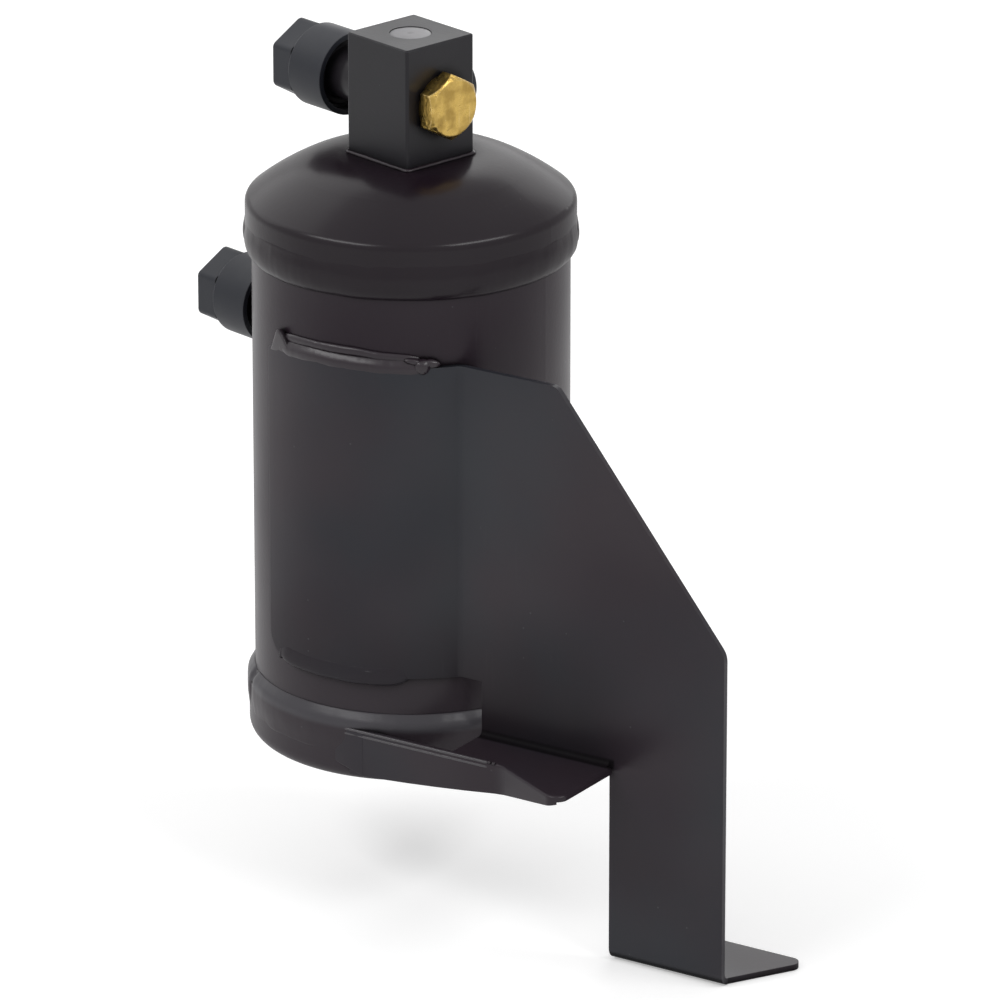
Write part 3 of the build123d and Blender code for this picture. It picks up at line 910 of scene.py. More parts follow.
@dataclass(frozen=True)
class Ripple:
    """The marks that a welder's steps leave along a bead.

    Args:
        pitch: The length of one step, in millimetres.
        depth: How deep the steps are, in millimetres.
        wander: How much the bead's size drifts, in millimetres.
        loops: How many loops of the mesh one step has.
        lump_size: The width of the lumps over it all, in millimetres.
        lump_depth: Their depth, in millimetres.
        swings: The least and greatest depth of a step, as shares of the usual depth.
        drift_kept: The share of the drift that the next step keeps.
        drift_added: The share of a new draw that it takes in.
        drift_draw: How far such a draw can go either way.
    """

    pitch: float = 1.6
    depth: float = 0.06
    wander: float = 0.10
    loops: int = 4
    lump_size: float = 5.0
    lump_depth: float = 0.25
    swings: Pair = (0.5, 1.4)
    drift_kept: float = 0.7
    drift_added: float = 0.3
    drift_draw: float = 2.0

    def levels(self, count: int, seed: int) -> list[float]:
        """Draw how far each of a bead's loops stands out.

        Args:
            count: How many loops there are.
            seed: The number that the random draws start from.

        Returns:
            The distances in millimetres, each rounded to a level.
        """
        draw = random.Random(seed)
        drift = 0.0
        swing = 1.0
        levels = []
        for number in range(count):
            phase = (number % self.loops) / self.loops
            if phase == 0.0:
                swing = draw.uniform(*self.swings)
                fresh = draw.uniform(-self.drift_draw, self.drift_draw)
                drift = self.drift_kept * drift + self.drift_added * fresh
            level = self.depth * swing * (0.5 - phase) + self.wander * drift
            levels.append(round(level * LEVELS) / LEVELS)
        return levels


def oval(thick: float, tall: float, corners: int = 16) -> Line:
    """Work out an oval section's corners.

    Args:
        thick: Half its thickness, in millimetres.
        tall: Half its height, in millimetres.
        corners: How many corners it has.

    Returns:
        The corners, out from and up from its middle.
    """
    turns = [2.0 * math.pi * number / corners for number in range(corners)]
    return tuple((thick * math.cos(turn), tall * math.sin(turn)) for turn in turns)


@dataclass(frozen=True)
class CanBead:
    """A weld bead that runs round the can.

    Args:
        name: The piece's name.
        radius: The section's middle, in millimetres from the can's axis.
        section: The section's corners, out from and up from its middle, in millimetres.
        path: The bead's middle line: degrees round the can, and millimetres above the foot.
        ripple: The marks along it.
        seed: The number that its random draws start from.
        tip: How many loops each end takes to come to its rounded tip.
        notches: The angles at which the welder stopped and started again, in degrees.
        notch_depth: How deep the bead is pinched there, in millimetres.
        notch_width: How wide the pinch is, in degrees.
        tip_lead: How far along the rounding the tip's first loop stands, in loops.
        tip_least: The square of the least share of the section's size that a loop can have.
        flat: The least rise that is worth a move, in millimetres.
    """

    name: str
    radius: float
    section: Line
    path: Line
    ripple: Ripple = Ripple()
    seed: int = 1
    tip: int = 9
    notches: tuple[float, ...] = ()
    notch_depth: float = 0.6
    notch_width: float = 1.8
    tip_lead: float = 0.3
    tip_least: float = 0.02
    flat: float = 0.001

    def build(self) -> Piece:
        """Model the bead: a ring turned round the can, then stepped, sloped and rounded.

        Returns:
            The bead.
        """
        start, height = self.path[0]
        span = self.path[-1][0] - start
        full = span >= 360.0
        length = math.radians(span) * self.radius
        steps = int(length / self.ripple.pitch * self.ripple.loops)
        piece = begin(
            self.name, bpy.ops.mesh.primitive_circle_add, vertices=len(self.section), radius=MM,
            location=round_can(start, self.radius, height),
            rotation=(math.pi / 2, 0.0, math.radians(start - 90.0)))
        settle(piece)
        corners = [vert.co.copy() for vert in piece.data.vertices]
        edit(piece)
        for number, (out, up) in enumerate(self.section):
            pick_numbers(piece, [number])
            place = round_can(start, self.radius + out, height + up)
            bpy.ops.transform.translate(value=place - corners[number])
        select_mesh()
        bpy.ops.mesh.spin(
            steps=steps, angle=-math.radians(span), center=(CAN_X * MM, CAN_Y * MM, 0.0),
            axis=(0.0, 0.0, 1.0))
        close_mesh(fill=not full)
        settle(piece)
        loops = self.loops(piece, start, span / steps, steps if full else steps + 1)
        self.step(piece, loops, start, span / steps)
        if not full:
            self.slope(piece, loops, start, span / steps)
        roughen(piece, self.ripple.lump_size, self.ripple.lump_depth)
        smooth(piece)
        return piece

    def loops(self, piece: Piece, start: float, step: float, count: int) -> list[list[int]]:
        """Find the vertices in each loop along the bead.

        Args:
            piece: The bead.
            start: The angle of its first loop, in degrees.
            step: The angle from one loop to the next, in degrees.
            count: How many loops it has.

        Returns:
            The numbers of each loop's vertices.
        """
        loops: list[list[int]] = [[] for _ in range(count)]
        for vert in piece.data.vertices:
            turn = math.degrees(math.atan2(vert.co.x / MM - CAN_X, CAN_Y - vert.co.y / MM))
            loops[round(((turn - start) % 360.0) / step) % count].append(vert.index)
        return loops

    def step(self, piece: Piece, loops: Sequence[Sequence[int]], start: float, step: float) -> None:
        """Raise and sink the loops, all that share a level together.

        Args:
            piece: The bead.
            loops: The numbers of each loop's vertices.
            start: The angle of its first loop, in degrees.
            step: The angle from one loop to the next, in degrees.
        """
        shared: dict[float, list[int]] = {}
        for number, level in enumerate(self.ripple.levels(len(loops), self.seed)):
            for notch in self.notches:
                away = (start + number * step - notch) / self.notch_width
                level -= self.notch_depth * math.exp(-away * away)
            shared.setdefault(round(level * LEVELS) / LEVELS, []).extend(loops[number])
        edit(piece)
        for level in sorted(shared):
            pick_numbers(piece, shared[level])
            bpy.ops.transform.shrink_fatten(value=level * MM)
        leave_edit()

    def slope(self, piece: Piece, loops: Sequence[Sequence[int]], start: float, step: float) -> None:
        """Move the loops to the bead's middle line, and close both ends to a rounded tip.

        Args:
            piece: The bead.
            loops: The numbers of each loop's vertices.
            start: The angle of its first loop, in degrees.
            step: The angle from one loop to the next, in degrees.
        """
        edit(piece)
        for number, loop in enumerate(loops):
            turn = start + number * step
            rise = self.height_at(turn) - self.path[0][1]
            near = min(number, len(loops) - 1 - number)
            pick_numbers(piece, loop)
            if near < self.tip:
                away = 1.0 - (near + self.tip_lead) / self.tip
                size = math.sqrt(max(self.tip_least, 1.0 - away ** 2))
                bpy.ops.transform.resize(value=(size, size, size))
            if abs(rise) > self.flat:
                bpy.ops.transform.translate(value=(0.0, 0.0, rise * MM))
        leave_edit()

    def height_at(self, turn: float) -> float:
        """Work out the middle line's height at an angle.

        Args:
            turn: The angle, in degrees.

        Returns:
            The height, in millimetres.
        """
        for (low, first), (high, second) in zip(self.path, self.path[1:]):
            if turn <= high:
                share = (turn - low) / (high - low)
                return first + (second - first) * share * share * (3.0 - 2.0 * share)
        return self.path[-1][1]


@dataclass(frozen=True)
class Lump:
    """A drop of weld metal on the can or the bracket.

    Args:
        place: Its middle, in metres.
        size: Its half sizes along, out from and up the can, in millimetres.
        facing: The angle round the can that it faces, in degrees.
        lean: How far it leans to the side, in degrees.
        bump_size: How wide its bumps are, in millimetres.
        bump_depth: How deep they are, as a share of its least half size.
    """

    place: Vector
    size: Size
    facing: float
    lean: float = 0.0
    bump_size: float = 1.8
    bump_depth: float = 0.25

    def build(self) -> Piece:
        """Model the drop: a ball, squashed, leant and made uneven.

        Returns:
            The drop.
        """
        piece = begin(
            "drop", bpy.ops.mesh.primitive_ico_sphere_add, subdivisions=3, radius=MM, location=self.place,
            rotation=(0.0, math.radians(self.lean), math.radians(self.facing)))
        piece.scale = self.size
        settle(piece)
        roughen(piece, self.bump_size, self.bump_depth * min(self.size))
        return piece


@dataclass
class Can:
    """The welded can: tube, caps and girth welds.

    Args:
        plain: The nodes that keep their CAD shape.
        upper: The weld round the top cap's edge.
        lower: The weld round the bottom cap's edge.
    """

    plain: tuple[str, ...] = ("shell_tube", "top_cap", "bottom_cap")
    upper: CanBead = CanBead(
        "upper_girth_bead", 38.0, (
            (0.0, -4.5), (0.55, -4.25), (1.1, -3.6), (1.6, -2.7), (1.95, -1.6), (2.13, -0.4), (2.15, 0.7),
            (2.05, 1.7), (1.88, 2.6), (1.72, 3.4), (1.62, 4.2), (1.5, 4.8), (0.8, 4.5), (-0.1, 2.0),
            (-0.4, -1.0), (-0.3, -3.5)),
        ((-180.0, 162.5), (180.0, 162.5)),
        Ripple(pitch=2.6, depth=0.02, wander=0.03, lump_size=9.0, lump_depth=0.40), seed=11,
        notches=(-53.0, 118.0))
    lower: CanBead = CanBead(
        "lower_girth_bead", 38.0, (
            (0.0, 5.7), (0.25, 5.5), (0.6, 5.05), (1.0, 4.5), (1.4, 3.95), (1.74, 3.4), (1.95, 2.75),
            (2.05, 1.6), (2.05, -0.05), (2.0, -1.25), (1.9, -2.25), (1.78, -3.15), (1.68, -3.95),
            (1.62, -4.75), (1.5, -5.35), (0.6, -4.75), (-0.2, -1.85), (-0.4, 1.65), (-0.3, 4.65)),
        ((-180.0, 48.35), (180.0, 48.35)),
        Ripple(pitch=2.8, depth=0.02, wander=0.02, lump_size=10.0, lump_depth=0.35), seed=12,
        notches=(-45.6,), notch_depth=0.9)

    def build(self) -> None:
        """Dress the can and model its girth welds."""
        for node in self.plain:
            dress(node, DOME_SHADED_PAINT if node == "top_cap" else SATIN_PAINT)
        for bead, finish, node in (
                (self.upper, DOME_SHADED_PAINT, "upper_girth_weld"), (self.lower, GIRTH_PAINT, "lower_girth_weld")):
            dress(node, finish)
            finish_piece(bead.build(), finish, "black_paint", node)


@dataclass
class HeadBlock:
    """The block on the dome, with its glass and plugs. Sizes are in millimetres.

    Args:
        width: The block's width.
        seat: The height of the dome's flat seat.
        bead: The radius of the bead round the block's foot.
        bead_out: How far the bead's middle stands out from the block's faces.
        bead_rise: How far the bead's middle stands above the seat.
        bead_cuts: How many times each part of the bead's line is cut.
        bead_lumps: The width and depth of the bead's lumps, coarse and then fine.
        cut: How far the bead cuts the corners.
        glass_radius: The glass's radius.
        glass_sunk: How far the glass's rim lies below the block's top.
        glass_depth: How thick the glass is.
        glass_steps: How far in and how far up each ring of its crown lies from the one before.
        glass_rim: The width of its rounded rim.
        slack: How far below the glass's top a vertex still counts as on it.
    """

    width: float = 21.3
    seat: float = 182.3
    bead: float = 0.6
    bead_out: float = 0.12
    bead_rise: float = 0.1
    bead_cuts: int = 40
    bead_lumps: Line = ((2.2, 0.3), (0.8, 0.1))
    cut: float = 1.0
    glass_radius: float = 4.96
    glass_sunk: float = 0.2
    glass_depth: float = 3.3
    glass_steps: Line = ((0.2, 0.08), (0.5, 0.03), (1.2, 0.04), (1.3, 0.02))
    glass_rim: float = 0.05
    slack: float = 0.01

    def build(self) -> None:
        """Dress the block and what it carries, and model its foot bead and its glass."""
        for node, finish in (
                ("head_block", BLOCK_PAINT), ("head_block_weld", WELD_PAINT), ("sight_glass", GLASS),
                ("sight_glass_seal", RUBBER), ("brass_plug", BRASS), ("switch_plug", CAP_PLASTIC),
                ("switch_seal", RUBBER)):
            dress(node, finish)
        finish_piece(self.foot_bead(), WELD_PAINT, "black_paint", "head_block_weld")
        finish_piece(self.glass(), GLASS, "glass", "sight_glass")

    def foot_bead(self) -> Piece:
        """Model the thin bead round the block's foot: a square line given a round section.

        Returns:
            The bead.
        """
        side = (self.width + 2.0 * self.bead_out) * MM
        piece = begin(
            "block_foot_bead", bpy.ops.mesh.primitive_plane_add, size=side,
            location=Vector((CAN_X, CAN_Y, self.seat + self.bead_rise)) * MM,
            rotation=(0.0, 0.0, PORT_TURN))
        edit(piece)
        bpy.ops.mesh.bevel(offset=self.cut * MM, segments=4, affect="VERTICES")
        select_mesh()
        bpy.ops.mesh.delete(type="ONLY_FACE")
        select_mesh()
        bpy.ops.mesh.subdivide(number_cuts=self.bead_cuts)
        leave_edit()
        bpy.ops.object.convert(target="CURVE")
        piece = bpy.context.object
        piece.data.bevel_depth = self.bead * MM
        piece.data.bevel_resolution = 4
        bpy.ops.object.convert(target="MESH")
        piece = bpy.context.object
        edit(piece)
        close_mesh(fill=False)
        settle(piece)
        for size, depth in self.bead_lumps:
            roughen(piece, size, depth)
        return piece

    def glass(self) -> Piece:
        """Model the glass: a thick disc with a rounded rim and a low crown.

        Returns:
            The glass.
        """
        top = BLOCK_TOP - self.glass_sunk
        piece = begin(
            "sight_glass_disc", bpy.ops.mesh.primitive_cylinder_add, vertices=64,
            radius=self.glass_radius * MM, depth=self.glass_depth * MM,
            location=Vector((CAN_X, CAN_Y, top - self.glass_depth / 2.0)) * MM)
        settle(piece)
        edit(piece)
        pick(piece, lambda co: co.z > (top - self.slack) * MM)
        for inset, rise in self.glass_steps:
            bpy.ops.mesh.inset(thickness=inset * MM, depth=0.0)
            bpy.ops.transform.translate(value=(0.0, 0.0, rise * MM))
        leave_edit()
        bake(piece, "BEVEL", width=self.glass_rim * MM, segments=2, limit_method="ANGLE")
        return piece


@dataclass
class Ports:
    """The two pipe fittings and their screw caps. Sizes are in millimetres.

    Args:
        inlet_height: The height of the inlet's axis.
        ring: The radius of the inlet's weld round that axis.
        bead: Half the thickness of that weld.
        tube: The radius of the can's tube.
        steps: How many loops that weld has.
        corners: How many corners each loop has.
        ripple: The marks along it.
        seed: The number that its random draws start from.
    """

    inlet_height: float = 132.0
    ring: float = 7.5
    bead: float = 1.25
    tube: float = 38.1
    steps: int = 96
    corners: int = 14
    ripple: Ripple = Ripple(depth=0.16, wander=0.08, lump_size=3.0, lump_depth=0.3)
    seed: int = 14

    def build(self) -> None:
        """Dress the fittings and caps, and model the inlet's weld."""
        for node in ("outlet_fitting", "inlet_fitting"):
            dress(node, GLOSS_PAINT)
        for node in ("outlet_cap", "inlet_cap"):
            dress(node, CAP_PLASTIC)
        dress("inlet_weld", WELD_PAINT)
        finish_piece(self.inlet_bead(), WELD_PAINT, "black_paint", "inlet_weld")

    def inlet_bead(self) -> Piece:
        """Model the inlet's weld: a ring round the fitting, bent to the can and stepped.

        Returns:
            The weld.
        """
        out = Vector((-math.cos(PORT_TURN), -math.sin(PORT_TURN), 0.0))
        side = Vector((0.0, 0.0, 1.0)).cross(out)
        middle = Vector((CAN_X, CAN_Y, self.inlet_height)) * MM + out * self.tube * MM
        piece = begin(
            "inlet_bead", bpy.ops.mesh.primitive_circle_add, vertices=self.corners,
            radius=self.bead * MM, location=middle + Vector((0.0, 0.0, self.ring * MM)),
            rotation=(math.pi / 2, 0.0, PORT_TURN))
        edit(piece)
        bpy.ops.mesh.spin(steps=self.steps, angle=2.0 * math.pi, center=middle, axis=out)
        close_mesh(fill=False)
        settle(piece)
        loops: list[list[int]] = [[] for _ in range(self.steps)]
        for vert in piece.data.vertices:
            turn = math.atan2((vert.co - middle).dot(side), vert.co.z - middle.z) / (2.0 * math.pi)
            loops[round(turn * self.steps) % self.steps].append(vert.index)
        levels = self.ripple.levels(self.steps, self.seed)
        edit(piece)
        for number, loop in enumerate(loops):
            across = self.ring * math.sin(2.0 * math.pi * number / self.steps)
            sink = self.tube - math.sqrt(self.tube ** 2 - across ** 2)
            pick_numbers(piece, loop)
            bpy.ops.transform.translate(value=out * (-sink * MM))
            bpy.ops.transform.shrink_fatten(value=levels[number] * MM)
        leave_edit()
        roughen(piece, self.ripple.lump_size, self.ripple.lump_depth)
        smooth(piece)
        return piece


@dataclass
class Bracket:
    """The folded bracket and its welds. Sizes are in millimetres.

    Args:
        upper: The beads along the saddle's upper edge: a ridge, and a toe on the can above it.
        lower: The bead along the saddle's lower edge.
        shelf: The bead where the shelf meets the can.
        drops: The drops of metal at the saddle's upper corner.
        lower_drop: The drop at the lower bead's end.
        drop_radius: How far the drops' middles stand from the can's axis.
        edge_drops: The middles of the paint drops on the lip's edge.
        edge_drop_size: Their half sizes.
        lip_face: The place of the lip's face along Y.
        ear_size: The size of the saddle's raised corner.
        ear_place: Its degrees round the can, distance from the can's axis and height.
        ear_point: Its width at the top, as a share of its width at the foot.
        ear_shift: How far its point leans to the left.
        ear_tilt: How far it tilts, in degrees.
        ear_edge: How far its edges are rounded.
        ear_lumps: The width and depth of its lumps.
        end_place: The middle of the lip's end: from the can's axis, from the lip's face and from the foot.
        end_size: Its size.
        end_slant: How much higher its left foot stands.
        end_edge: How far its edges are rounded.
        end_turn: How far it is turned round its upright axis, in degrees.
        rim_ends: The ends along X of the raised lines along the lip's fold.
        rim_heights: Their heights.
        rim_sunk: How far their middles lie behind the lip's face.
        rim_radius: Their radius.
        rim_steps: How many steps each is drawn out in.
        rim_corners: How many corners its section has.
        rim_tip: Its thickness at its right end, as a share.
        rim_lumps: The width and depth of its lumps.
    """

    upper: tuple[CanBead, ...] = (
        CanBead(
            "saddle_upper_ridge", 39.0, (
                (-0.45, 1.6), (-0.2, 1.45), (0.2, 0.9), (0.55, 0.4), (0.8, -0.1), (0.88, -0.6), (0.84, -1.1),
                (0.72, -1.6), (0.5, -2.1), (-0.3, -1.9), (-0.8, -0.3), (-0.8, 1.0)), (
                (-18.5, 142.5), (-4.0, 142.6), (12.0, 142.4), (26.0, 142.15), (34.0, 142.1), (39.0, 141.8)),
            Ripple(pitch=2.2, depth=0.03, wander=0.05, lump_size=5.0, lump_depth=0.25), seed=21, tip=7),
        CanBead(
            "saddle_upper_toe", 38.1, oval(0.86, 1.15), (
                (-21.0, 144.2), (-11.0, 144.7), (-4.0, 144.8), (12.0, 144.8), (26.0, 144.05), (36.5, 143.7)),
            Ripple(pitch=2.3, depth=0.03, wander=0.06, lump_size=4.5, lump_depth=0.3), seed=22))
    lower: CanBead = CanBead(
        "saddle_lower_bead", 38.85, (
            (0.72, 2.6), (0.95, 1.6), (1.15, 0.6), (1.3, -0.4), (1.3, -1.2), (1.1, -1.9), (0.6, -2.35),
            (-0.4, -2.3), (-0.9, -1.4), (-0.9, 0.5), (-0.3, 2.0)), (
            (-20.0, 64.8), (-12.0, 64.4), (0.0, 64.0), (12.0, 63.8), (22.0, 63.8), (32.5, 64.2)),
        Ripple(pitch=2.6, depth=0.03, wander=0.05, lump_size=6.0, lump_depth=0.35), seed=23, tip=7)
    shelf: CanBead = CanBead(
        "shelf_bead", 39.9, oval(0.8, 1.4), ((15.0, 47.2), (27.5, 47.3)),
        Ripple(pitch=1.6, depth=0.06, wander=0.05, lump_size=3.0, lump_depth=0.25), seed=24)
    drops: tuple[Drop, ...] = (
        (34.6, 143.2, (2.6, 0.8, 0.8), 12.0),
        (37.3, 142.0, (2.1, 1.6, 1.9), 0.0),
        (40.4, 142.6, (2.1, 1.0, 1.15), 6.0))
    lower_drop: Drop = (18.3, 64.7, (2.6, 1.15, 0.75), 0.0)
    drop_radius: float = 38.9
    edge_drops: tuple[Place, ...] = ((-40.6, -26.35, 49.9), (-39.4, -26.3, 49.85))
    edge_drop_size: Size = (0.45, 0.4, 0.4)
    lip_face: float = -26.5
    ear_size: Size = (8.6, 1.6, 5.8)
    ear_place: Place = (-17.7, 39.0, 143.4)
    ear_point: float = 0.11
    ear_shift: float = 0.9
    ear_tilt: float = 4.0
    ear_edge: float = 0.34
    ear_lumps: Pair = (3.0, 0.15)
    end_place: Place = (6.1, 0.51, 44.05)
    end_size: Size = (11.8, 1.1, 11.6)
    end_slant: float = 3.4
    end_edge: float = 0.5
    end_turn: float = 0.7
    rim_ends: Pair = (-82.6, -40.6)
    rim_heights: tuple[float, ...] = (49.7, 48.6)
    rim_sunk: float = 0.25
    rim_radius: float = 0.38
    rim_steps: int = 40
    rim_corners: int = 12
    rim_tip: float = 0.3
    rim_lumps: Pair = (2.5, 0.12)

    def build(self) -> None:
        """Dress the bracket and model its welds."""
        dress("bracket", SHEET_LIT_PAINT)
        for node in ("saddle_upper_weld", "saddle_lower_weld", "shelf_weld"):
            dress(node, WELD_PAINT)
        high = [bead.build() for bead in self.upper] + [self.ear()]
        high += [self.drop(*drop) for drop in self.drops]
        finish_piece(join("saddle_upper_bead", high), RIDGE_LIT_PAINT, "black_paint", "saddle_upper_weld")
        low = [self.lower.build(), self.drop(*self.lower_drop)]
        finish_piece(join("saddle_lower_bead", low), SHEET_LIT_PAINT, "black_paint", "saddle_lower_weld")
        finish_piece(self.shelf.build(), WELD_PAINT, "black_paint", "shelf_weld")
        runs = [Lump(Vector(place) * MM, self.edge_drop_size, 0.0).build() for place in self.edge_drops]
        finish_piece(join("lip_paint_drops", runs), WELD_PAINT, "black_paint")
        finish_piece(self.lip_end(), SHEET_LIT_PAINT, "black_paint")
        rims = [self.lip_rim(height) for height in self.rim_heights]
        # The raised lines are painted pale, as a painted highlight along the lip's edge
        finish_piece(join("lip_rim", rims), RIM_HIGHLIGHT_PAINT, "black_paint")

    def drop(self, turn: float, height: float, size: Size, lean: float) -> Piece:
        """Model a drop of metal on the can.

        Args:
            turn: Its degrees round the can.
            height: Its height.
            size: Its half sizes.
            lean: How far it leans to the side, in degrees.

        Returns:
            The drop.
        """
        return Lump(round_can(turn, self.drop_radius, height), size, turn, lean).build()

    def ear(self) -> Piece:
        """Model the saddle's raised corner: a block drawn in to a point, rounded and set round the can.

        Returns:
            The raised corner.
        """
        piece = begin("saddle_ear", bpy.ops.mesh.primitive_cube_add, size=MM)
        edit(piece)
        bpy.ops.transform.resize(value=self.ear_size)
        pick(piece, lambda co: co.z > 0.0)
        bpy.ops.transform.resize(value=(self.ear_point, 1.0, 1.0))
        bpy.ops.transform.translate(value=(-self.ear_shift * MM, 0.0, 0.0))
        select_mesh()
        bpy.ops.mesh.bevel(offset=self.ear_edge * MM, segments=3, affect="EDGES")
        leave_edit()
        smooth(piece)
        piece.location = round_can(*self.ear_place)
        piece.rotation_euler = (math.radians(self.ear_tilt), 0.0, math.radians(self.ear_place[0]))
        settle(piece)
        roughen(piece, *self.ear_lumps)
        return piece

    def lip_rim(self, height: float) -> Piece:
        """Model a raised line along the lip's fold: a thin rod drawn out in steps, thinned at its end.

        Args:
            height: The line's height.

        Returns:
            The line.
        """
        start, end = self.rim_ends
        piece = begin(
            "lip_rim", bpy.ops.mesh.primitive_circle_add, vertices=self.rim_corners,
            radius=self.rim_radius * MM, rotation=(0.0, math.pi / 2, 0.0),
            location=Vector((start, self.lip_face + self.rim_sunk, height)) * MM)
        edit(piece)
        for _ in range(self.rim_steps):
            bpy.ops.mesh.extrude_region_move(
                TRANSFORM_OT_translate={"value": ((end - start) * MM / self.rim_steps, 0.0, 0.0)})
        bpy.ops.transform.resize(value=(1.0, self.rim_tip, self.rim_tip))
        close_mesh(fill=True)
        roughen(piece, *self.rim_lumps)
        return piece

    def lip_end(self) -> Piece:
        """Model the lip's end where it dies into the can: a bar, cut slantwise, rounded and turned a little.

        Returns:
            The bar.
        """
        out, back, up = self.end_place
        middle = Vector((CAN_X + out, self.lip_face + back, up)) * MM
        piece = begin("lip_end", bpy.ops.mesh.primitive_cube_add, size=MM, location=middle)
        settle(piece)
        edit(piece)
        bpy.ops.transform.resize(value=self.end_size, center_override=middle)
        pick(piece, lambda co: co.x < middle.x and co.z < middle.z)
        bpy.ops.transform.translate(value=(0.0, 0.0, self.end_slant * MM))
        select_mesh()
        bpy.ops.mesh.bevel(offset=self.end_edge * MM, segments=3, affect="EDGES")
        select_mesh()
        bpy.ops.transform.rotate(
            value=math.radians(self.end_turn), orient_axis="Z", center_override=middle)
        bpy.ops.mesh.normals_make_consistent(inside=False)
        leave_edit()
        return piece


@dataclass
class Inside:
    """What the can holds.

    Args:
        finishes: The finish of each inner node.
    """

    finishes: dict[str, Finish] = field(default_factory=lambda: {
        "pickup_tube": PLAIN_STEEL, "pickup_strainer": PLAIN_STEEL, "lower_plate": PLAIN_STEEL,
        "upper_plate": PLAIN_STEEL, "hold_down_spring": PLAIN_STEEL, "lower_pad": FELT, "upper_pad": FELT,
        "desiccant_bed": BEADS})

    def build(self) -> None:
        """Dress the inner pieces."""
        for node, finish in self.finishes.items():
            dress(node, finish)


@dataclass
class Lamp:
    """An area lamp that points at the object.

    Args:
        name: The lamp's name.
        place: Where it stands, in metres from the object's middle.
        size: Its width and height, in metres.
        watts: Its power.
    """

    name: str
    place: Place
    size: Pair
    watts: float

    def build(self, target: Vector) -> None:
        """Add the lamp, pointed at a target.

        Args:
            target: The target's place, in metres.
        """
        data = bpy.data.lights.new(self.name, "AREA")
        data.shape = "RECTANGLE"
        data.size, data.size_y = self.size
        data.energy = self.watts
        lamp = bpy.data.objects.new(self.name, data)
        lamp.location = target + Vector(self.place)
        lamp.rotation_euler = (target - lamp.location).to_track_quat("-Z", "Y").to_euler()
        bpy.context.scene.collection.objects.link(lamp)


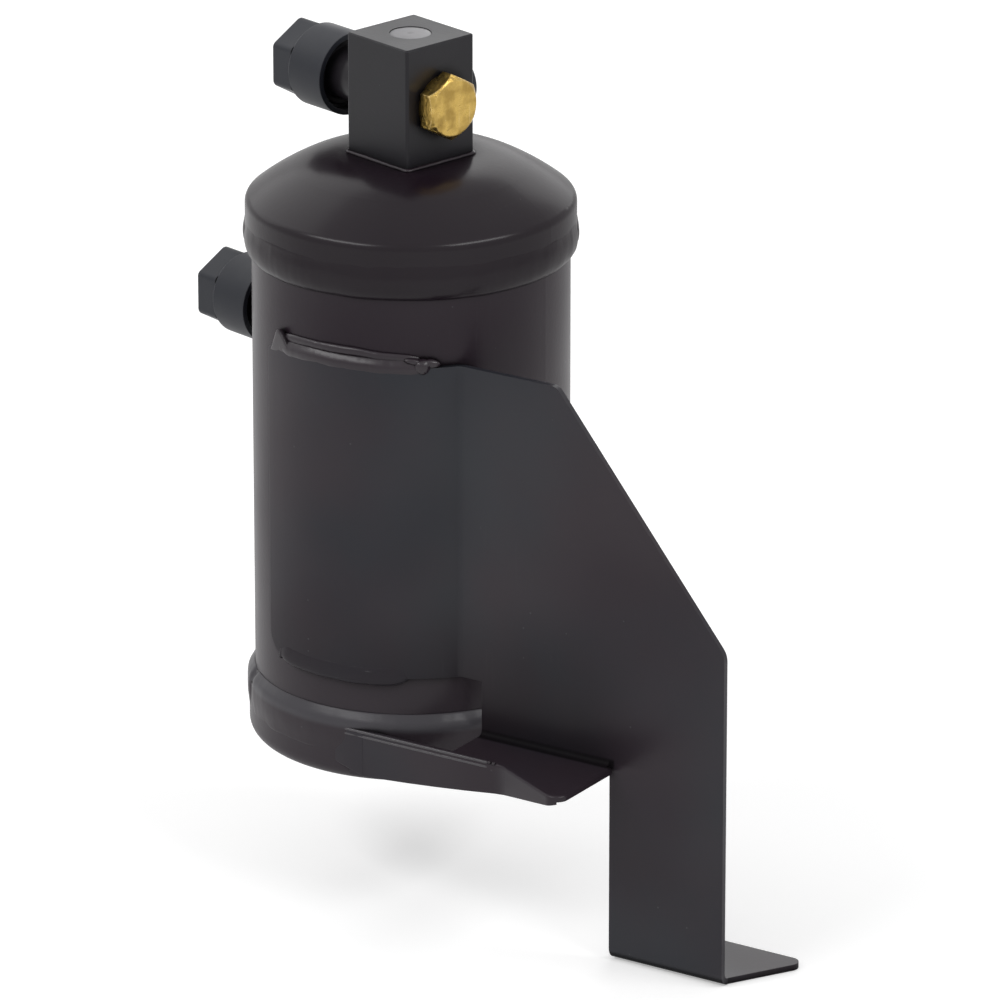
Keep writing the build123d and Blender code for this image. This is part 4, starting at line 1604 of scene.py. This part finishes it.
@dataclass
class Studio:
    """The camera, the lamps, the pale floor and the white surroundings.

    Args:
        camera_place: Where the camera stands, in metres.
        camera_look: The direction that it looks in.
        camera_lens: Its focal length, in millimetres.
        camera_sensor: The width of its sensor, in millimetres.
        camera_reach: How far it sees, in metres.
        middle: The place that the lamps point at, in metres.
        floor_side: The length of the floor's side, in metres.
        floor_drop: How far the floor lies below the foot, in metres.
        floor_colour: Its colour.
        floor_roughness: Its roughness.
        floor_glow: How much light it gives off to the eye.
        ambient: The strength of the surroundings' light.
        lamps: The lamps.
    """

    camera_place: Place = (1.03518, -1.68444, 0.84244)
    camera_look: Place = (-0.5099, 0.7881, -0.3450)
    camera_lens: float = 324.0
    camera_sensor: float = 36.0
    camera_reach: float = 20.0
    middle: Place = (-0.07, 0.0, 0.11)
    floor_side: float = 6.0
    floor_drop: float = 0.0002
    floor_colour: Colour = (0.86, 0.86, 0.86)
    floor_roughness: float = 0.9
    floor_glow: float = 0.35
    ambient: float = 0.42
    lamps: tuple[Lamp, ...] = (
        Lamp("lamp_left", (-1.5, 0.35, 1.1), (1.6, 1.6), 7.0),
        Lamp("lamp_back", (-0.5, 1.8, 0.75), (1.2, 1.2), 7.0),
        Lamp("lamp_front_left", (-0.65, -1.34, 1.49), (1.5, 0.45), 15.0),
        Lamp("lamp_front_right", (1.49, 0.0, 1.49), (1.5, 0.45), 15.0))

    def build(self) -> None:
        """Set up the whole studio."""
        self.add_camera()
        for lamp in self.lamps:
            lamp.build(Vector(self.middle))
        self.add_floor()
        self.add_world()
        bpy.context.scene.view_settings.view_transform = "Standard"

    def add_camera(self) -> None:
        """Add the camera at the photograph's place and angle."""
        data = bpy.data.cameras.new("photo_camera")
        data.lens = self.camera_lens
        data.sensor_width = self.camera_sensor
        data.clip_end = self.camera_reach
        camera = bpy.data.objects.new("photo_camera", data)
        camera.location = self.camera_place
        camera.rotation_euler = Vector(self.camera_look).to_track_quat("-Z", "Y").to_euler()
        bpy.context.scene.collection.objects.link(camera)
        bpy.context.scene.camera = camera

    def see_white(self, nodes: NodeTree) -> Socket:
        """Make a mask for what the eye sees, straight on, in reflections and through glass.

        Args:
            nodes: The nodes to add it to.

        Returns:
            A socket that is 1 for camera, glossy and transmission rays.
        """
        path = nodes.add("ShaderNodeLightPath")
        seen = nodes.maths("MAXIMUM", path.outputs["Is Camera Ray"], path.outputs["Is Glossy Ray"])
        return nodes.maths("MAXIMUM", seen, path.outputs["Is Transmission Ray"])

    def add_floor(self) -> None:
        """Add the pale floor, which takes the shadow and reads as white."""
        floor = begin(
            "studio_floor", bpy.ops.mesh.primitive_grid_add, x_subdivisions=2, y_subdivisions=2,
            size=self.floor_side, location=(0.0, 0.0, -self.floor_drop))
        material = bpy.data.materials.new("pale_floor")
        material.use_nodes = True
        nodes = NodeTree(material.node_tree)
        shader = material.node_tree.nodes["Principled BSDF"]
        nodes.fill(shader, {
            "Base Color": (*self.floor_colour, 1.0), "Roughness": self.floor_roughness,
            "Specular IOR Level": 0.0, "Emission Color": WHITE,
            "Emission Strength": nodes.times(self.see_white(nodes), self.floor_glow)})
        floor.data.materials.append(material)

    def add_world(self) -> None:
        """Make the surroundings white to the eye and in reflections, and softer as a light."""
        world = bpy.data.worlds.new("studio_world")
        bpy.context.scene.world = world
        world.use_nodes = True
        nodes = NodeTree(world.node_tree)
        background = world.node_tree.nodes["Background"]
        extra = nodes.times(self.see_white(nodes), 1.0 - self.ambient)
        nodes.fill(background, {"Color": WHITE, "Strength": nodes.maths("ADD", extra, self.ambient)})


def main() -> None:
    """Build every sub-assembly in order, then the studio."""
    logging.basicConfig(level=logging.INFO, format="%(message)s")
    for part in (Can(), HeadBlock(), Ports(), Bracket(), Inside()):
        part.build()
        log.info("%s finished", type(part).__name__)
    Studio().build()


if __name__ == "__main__":
    main()
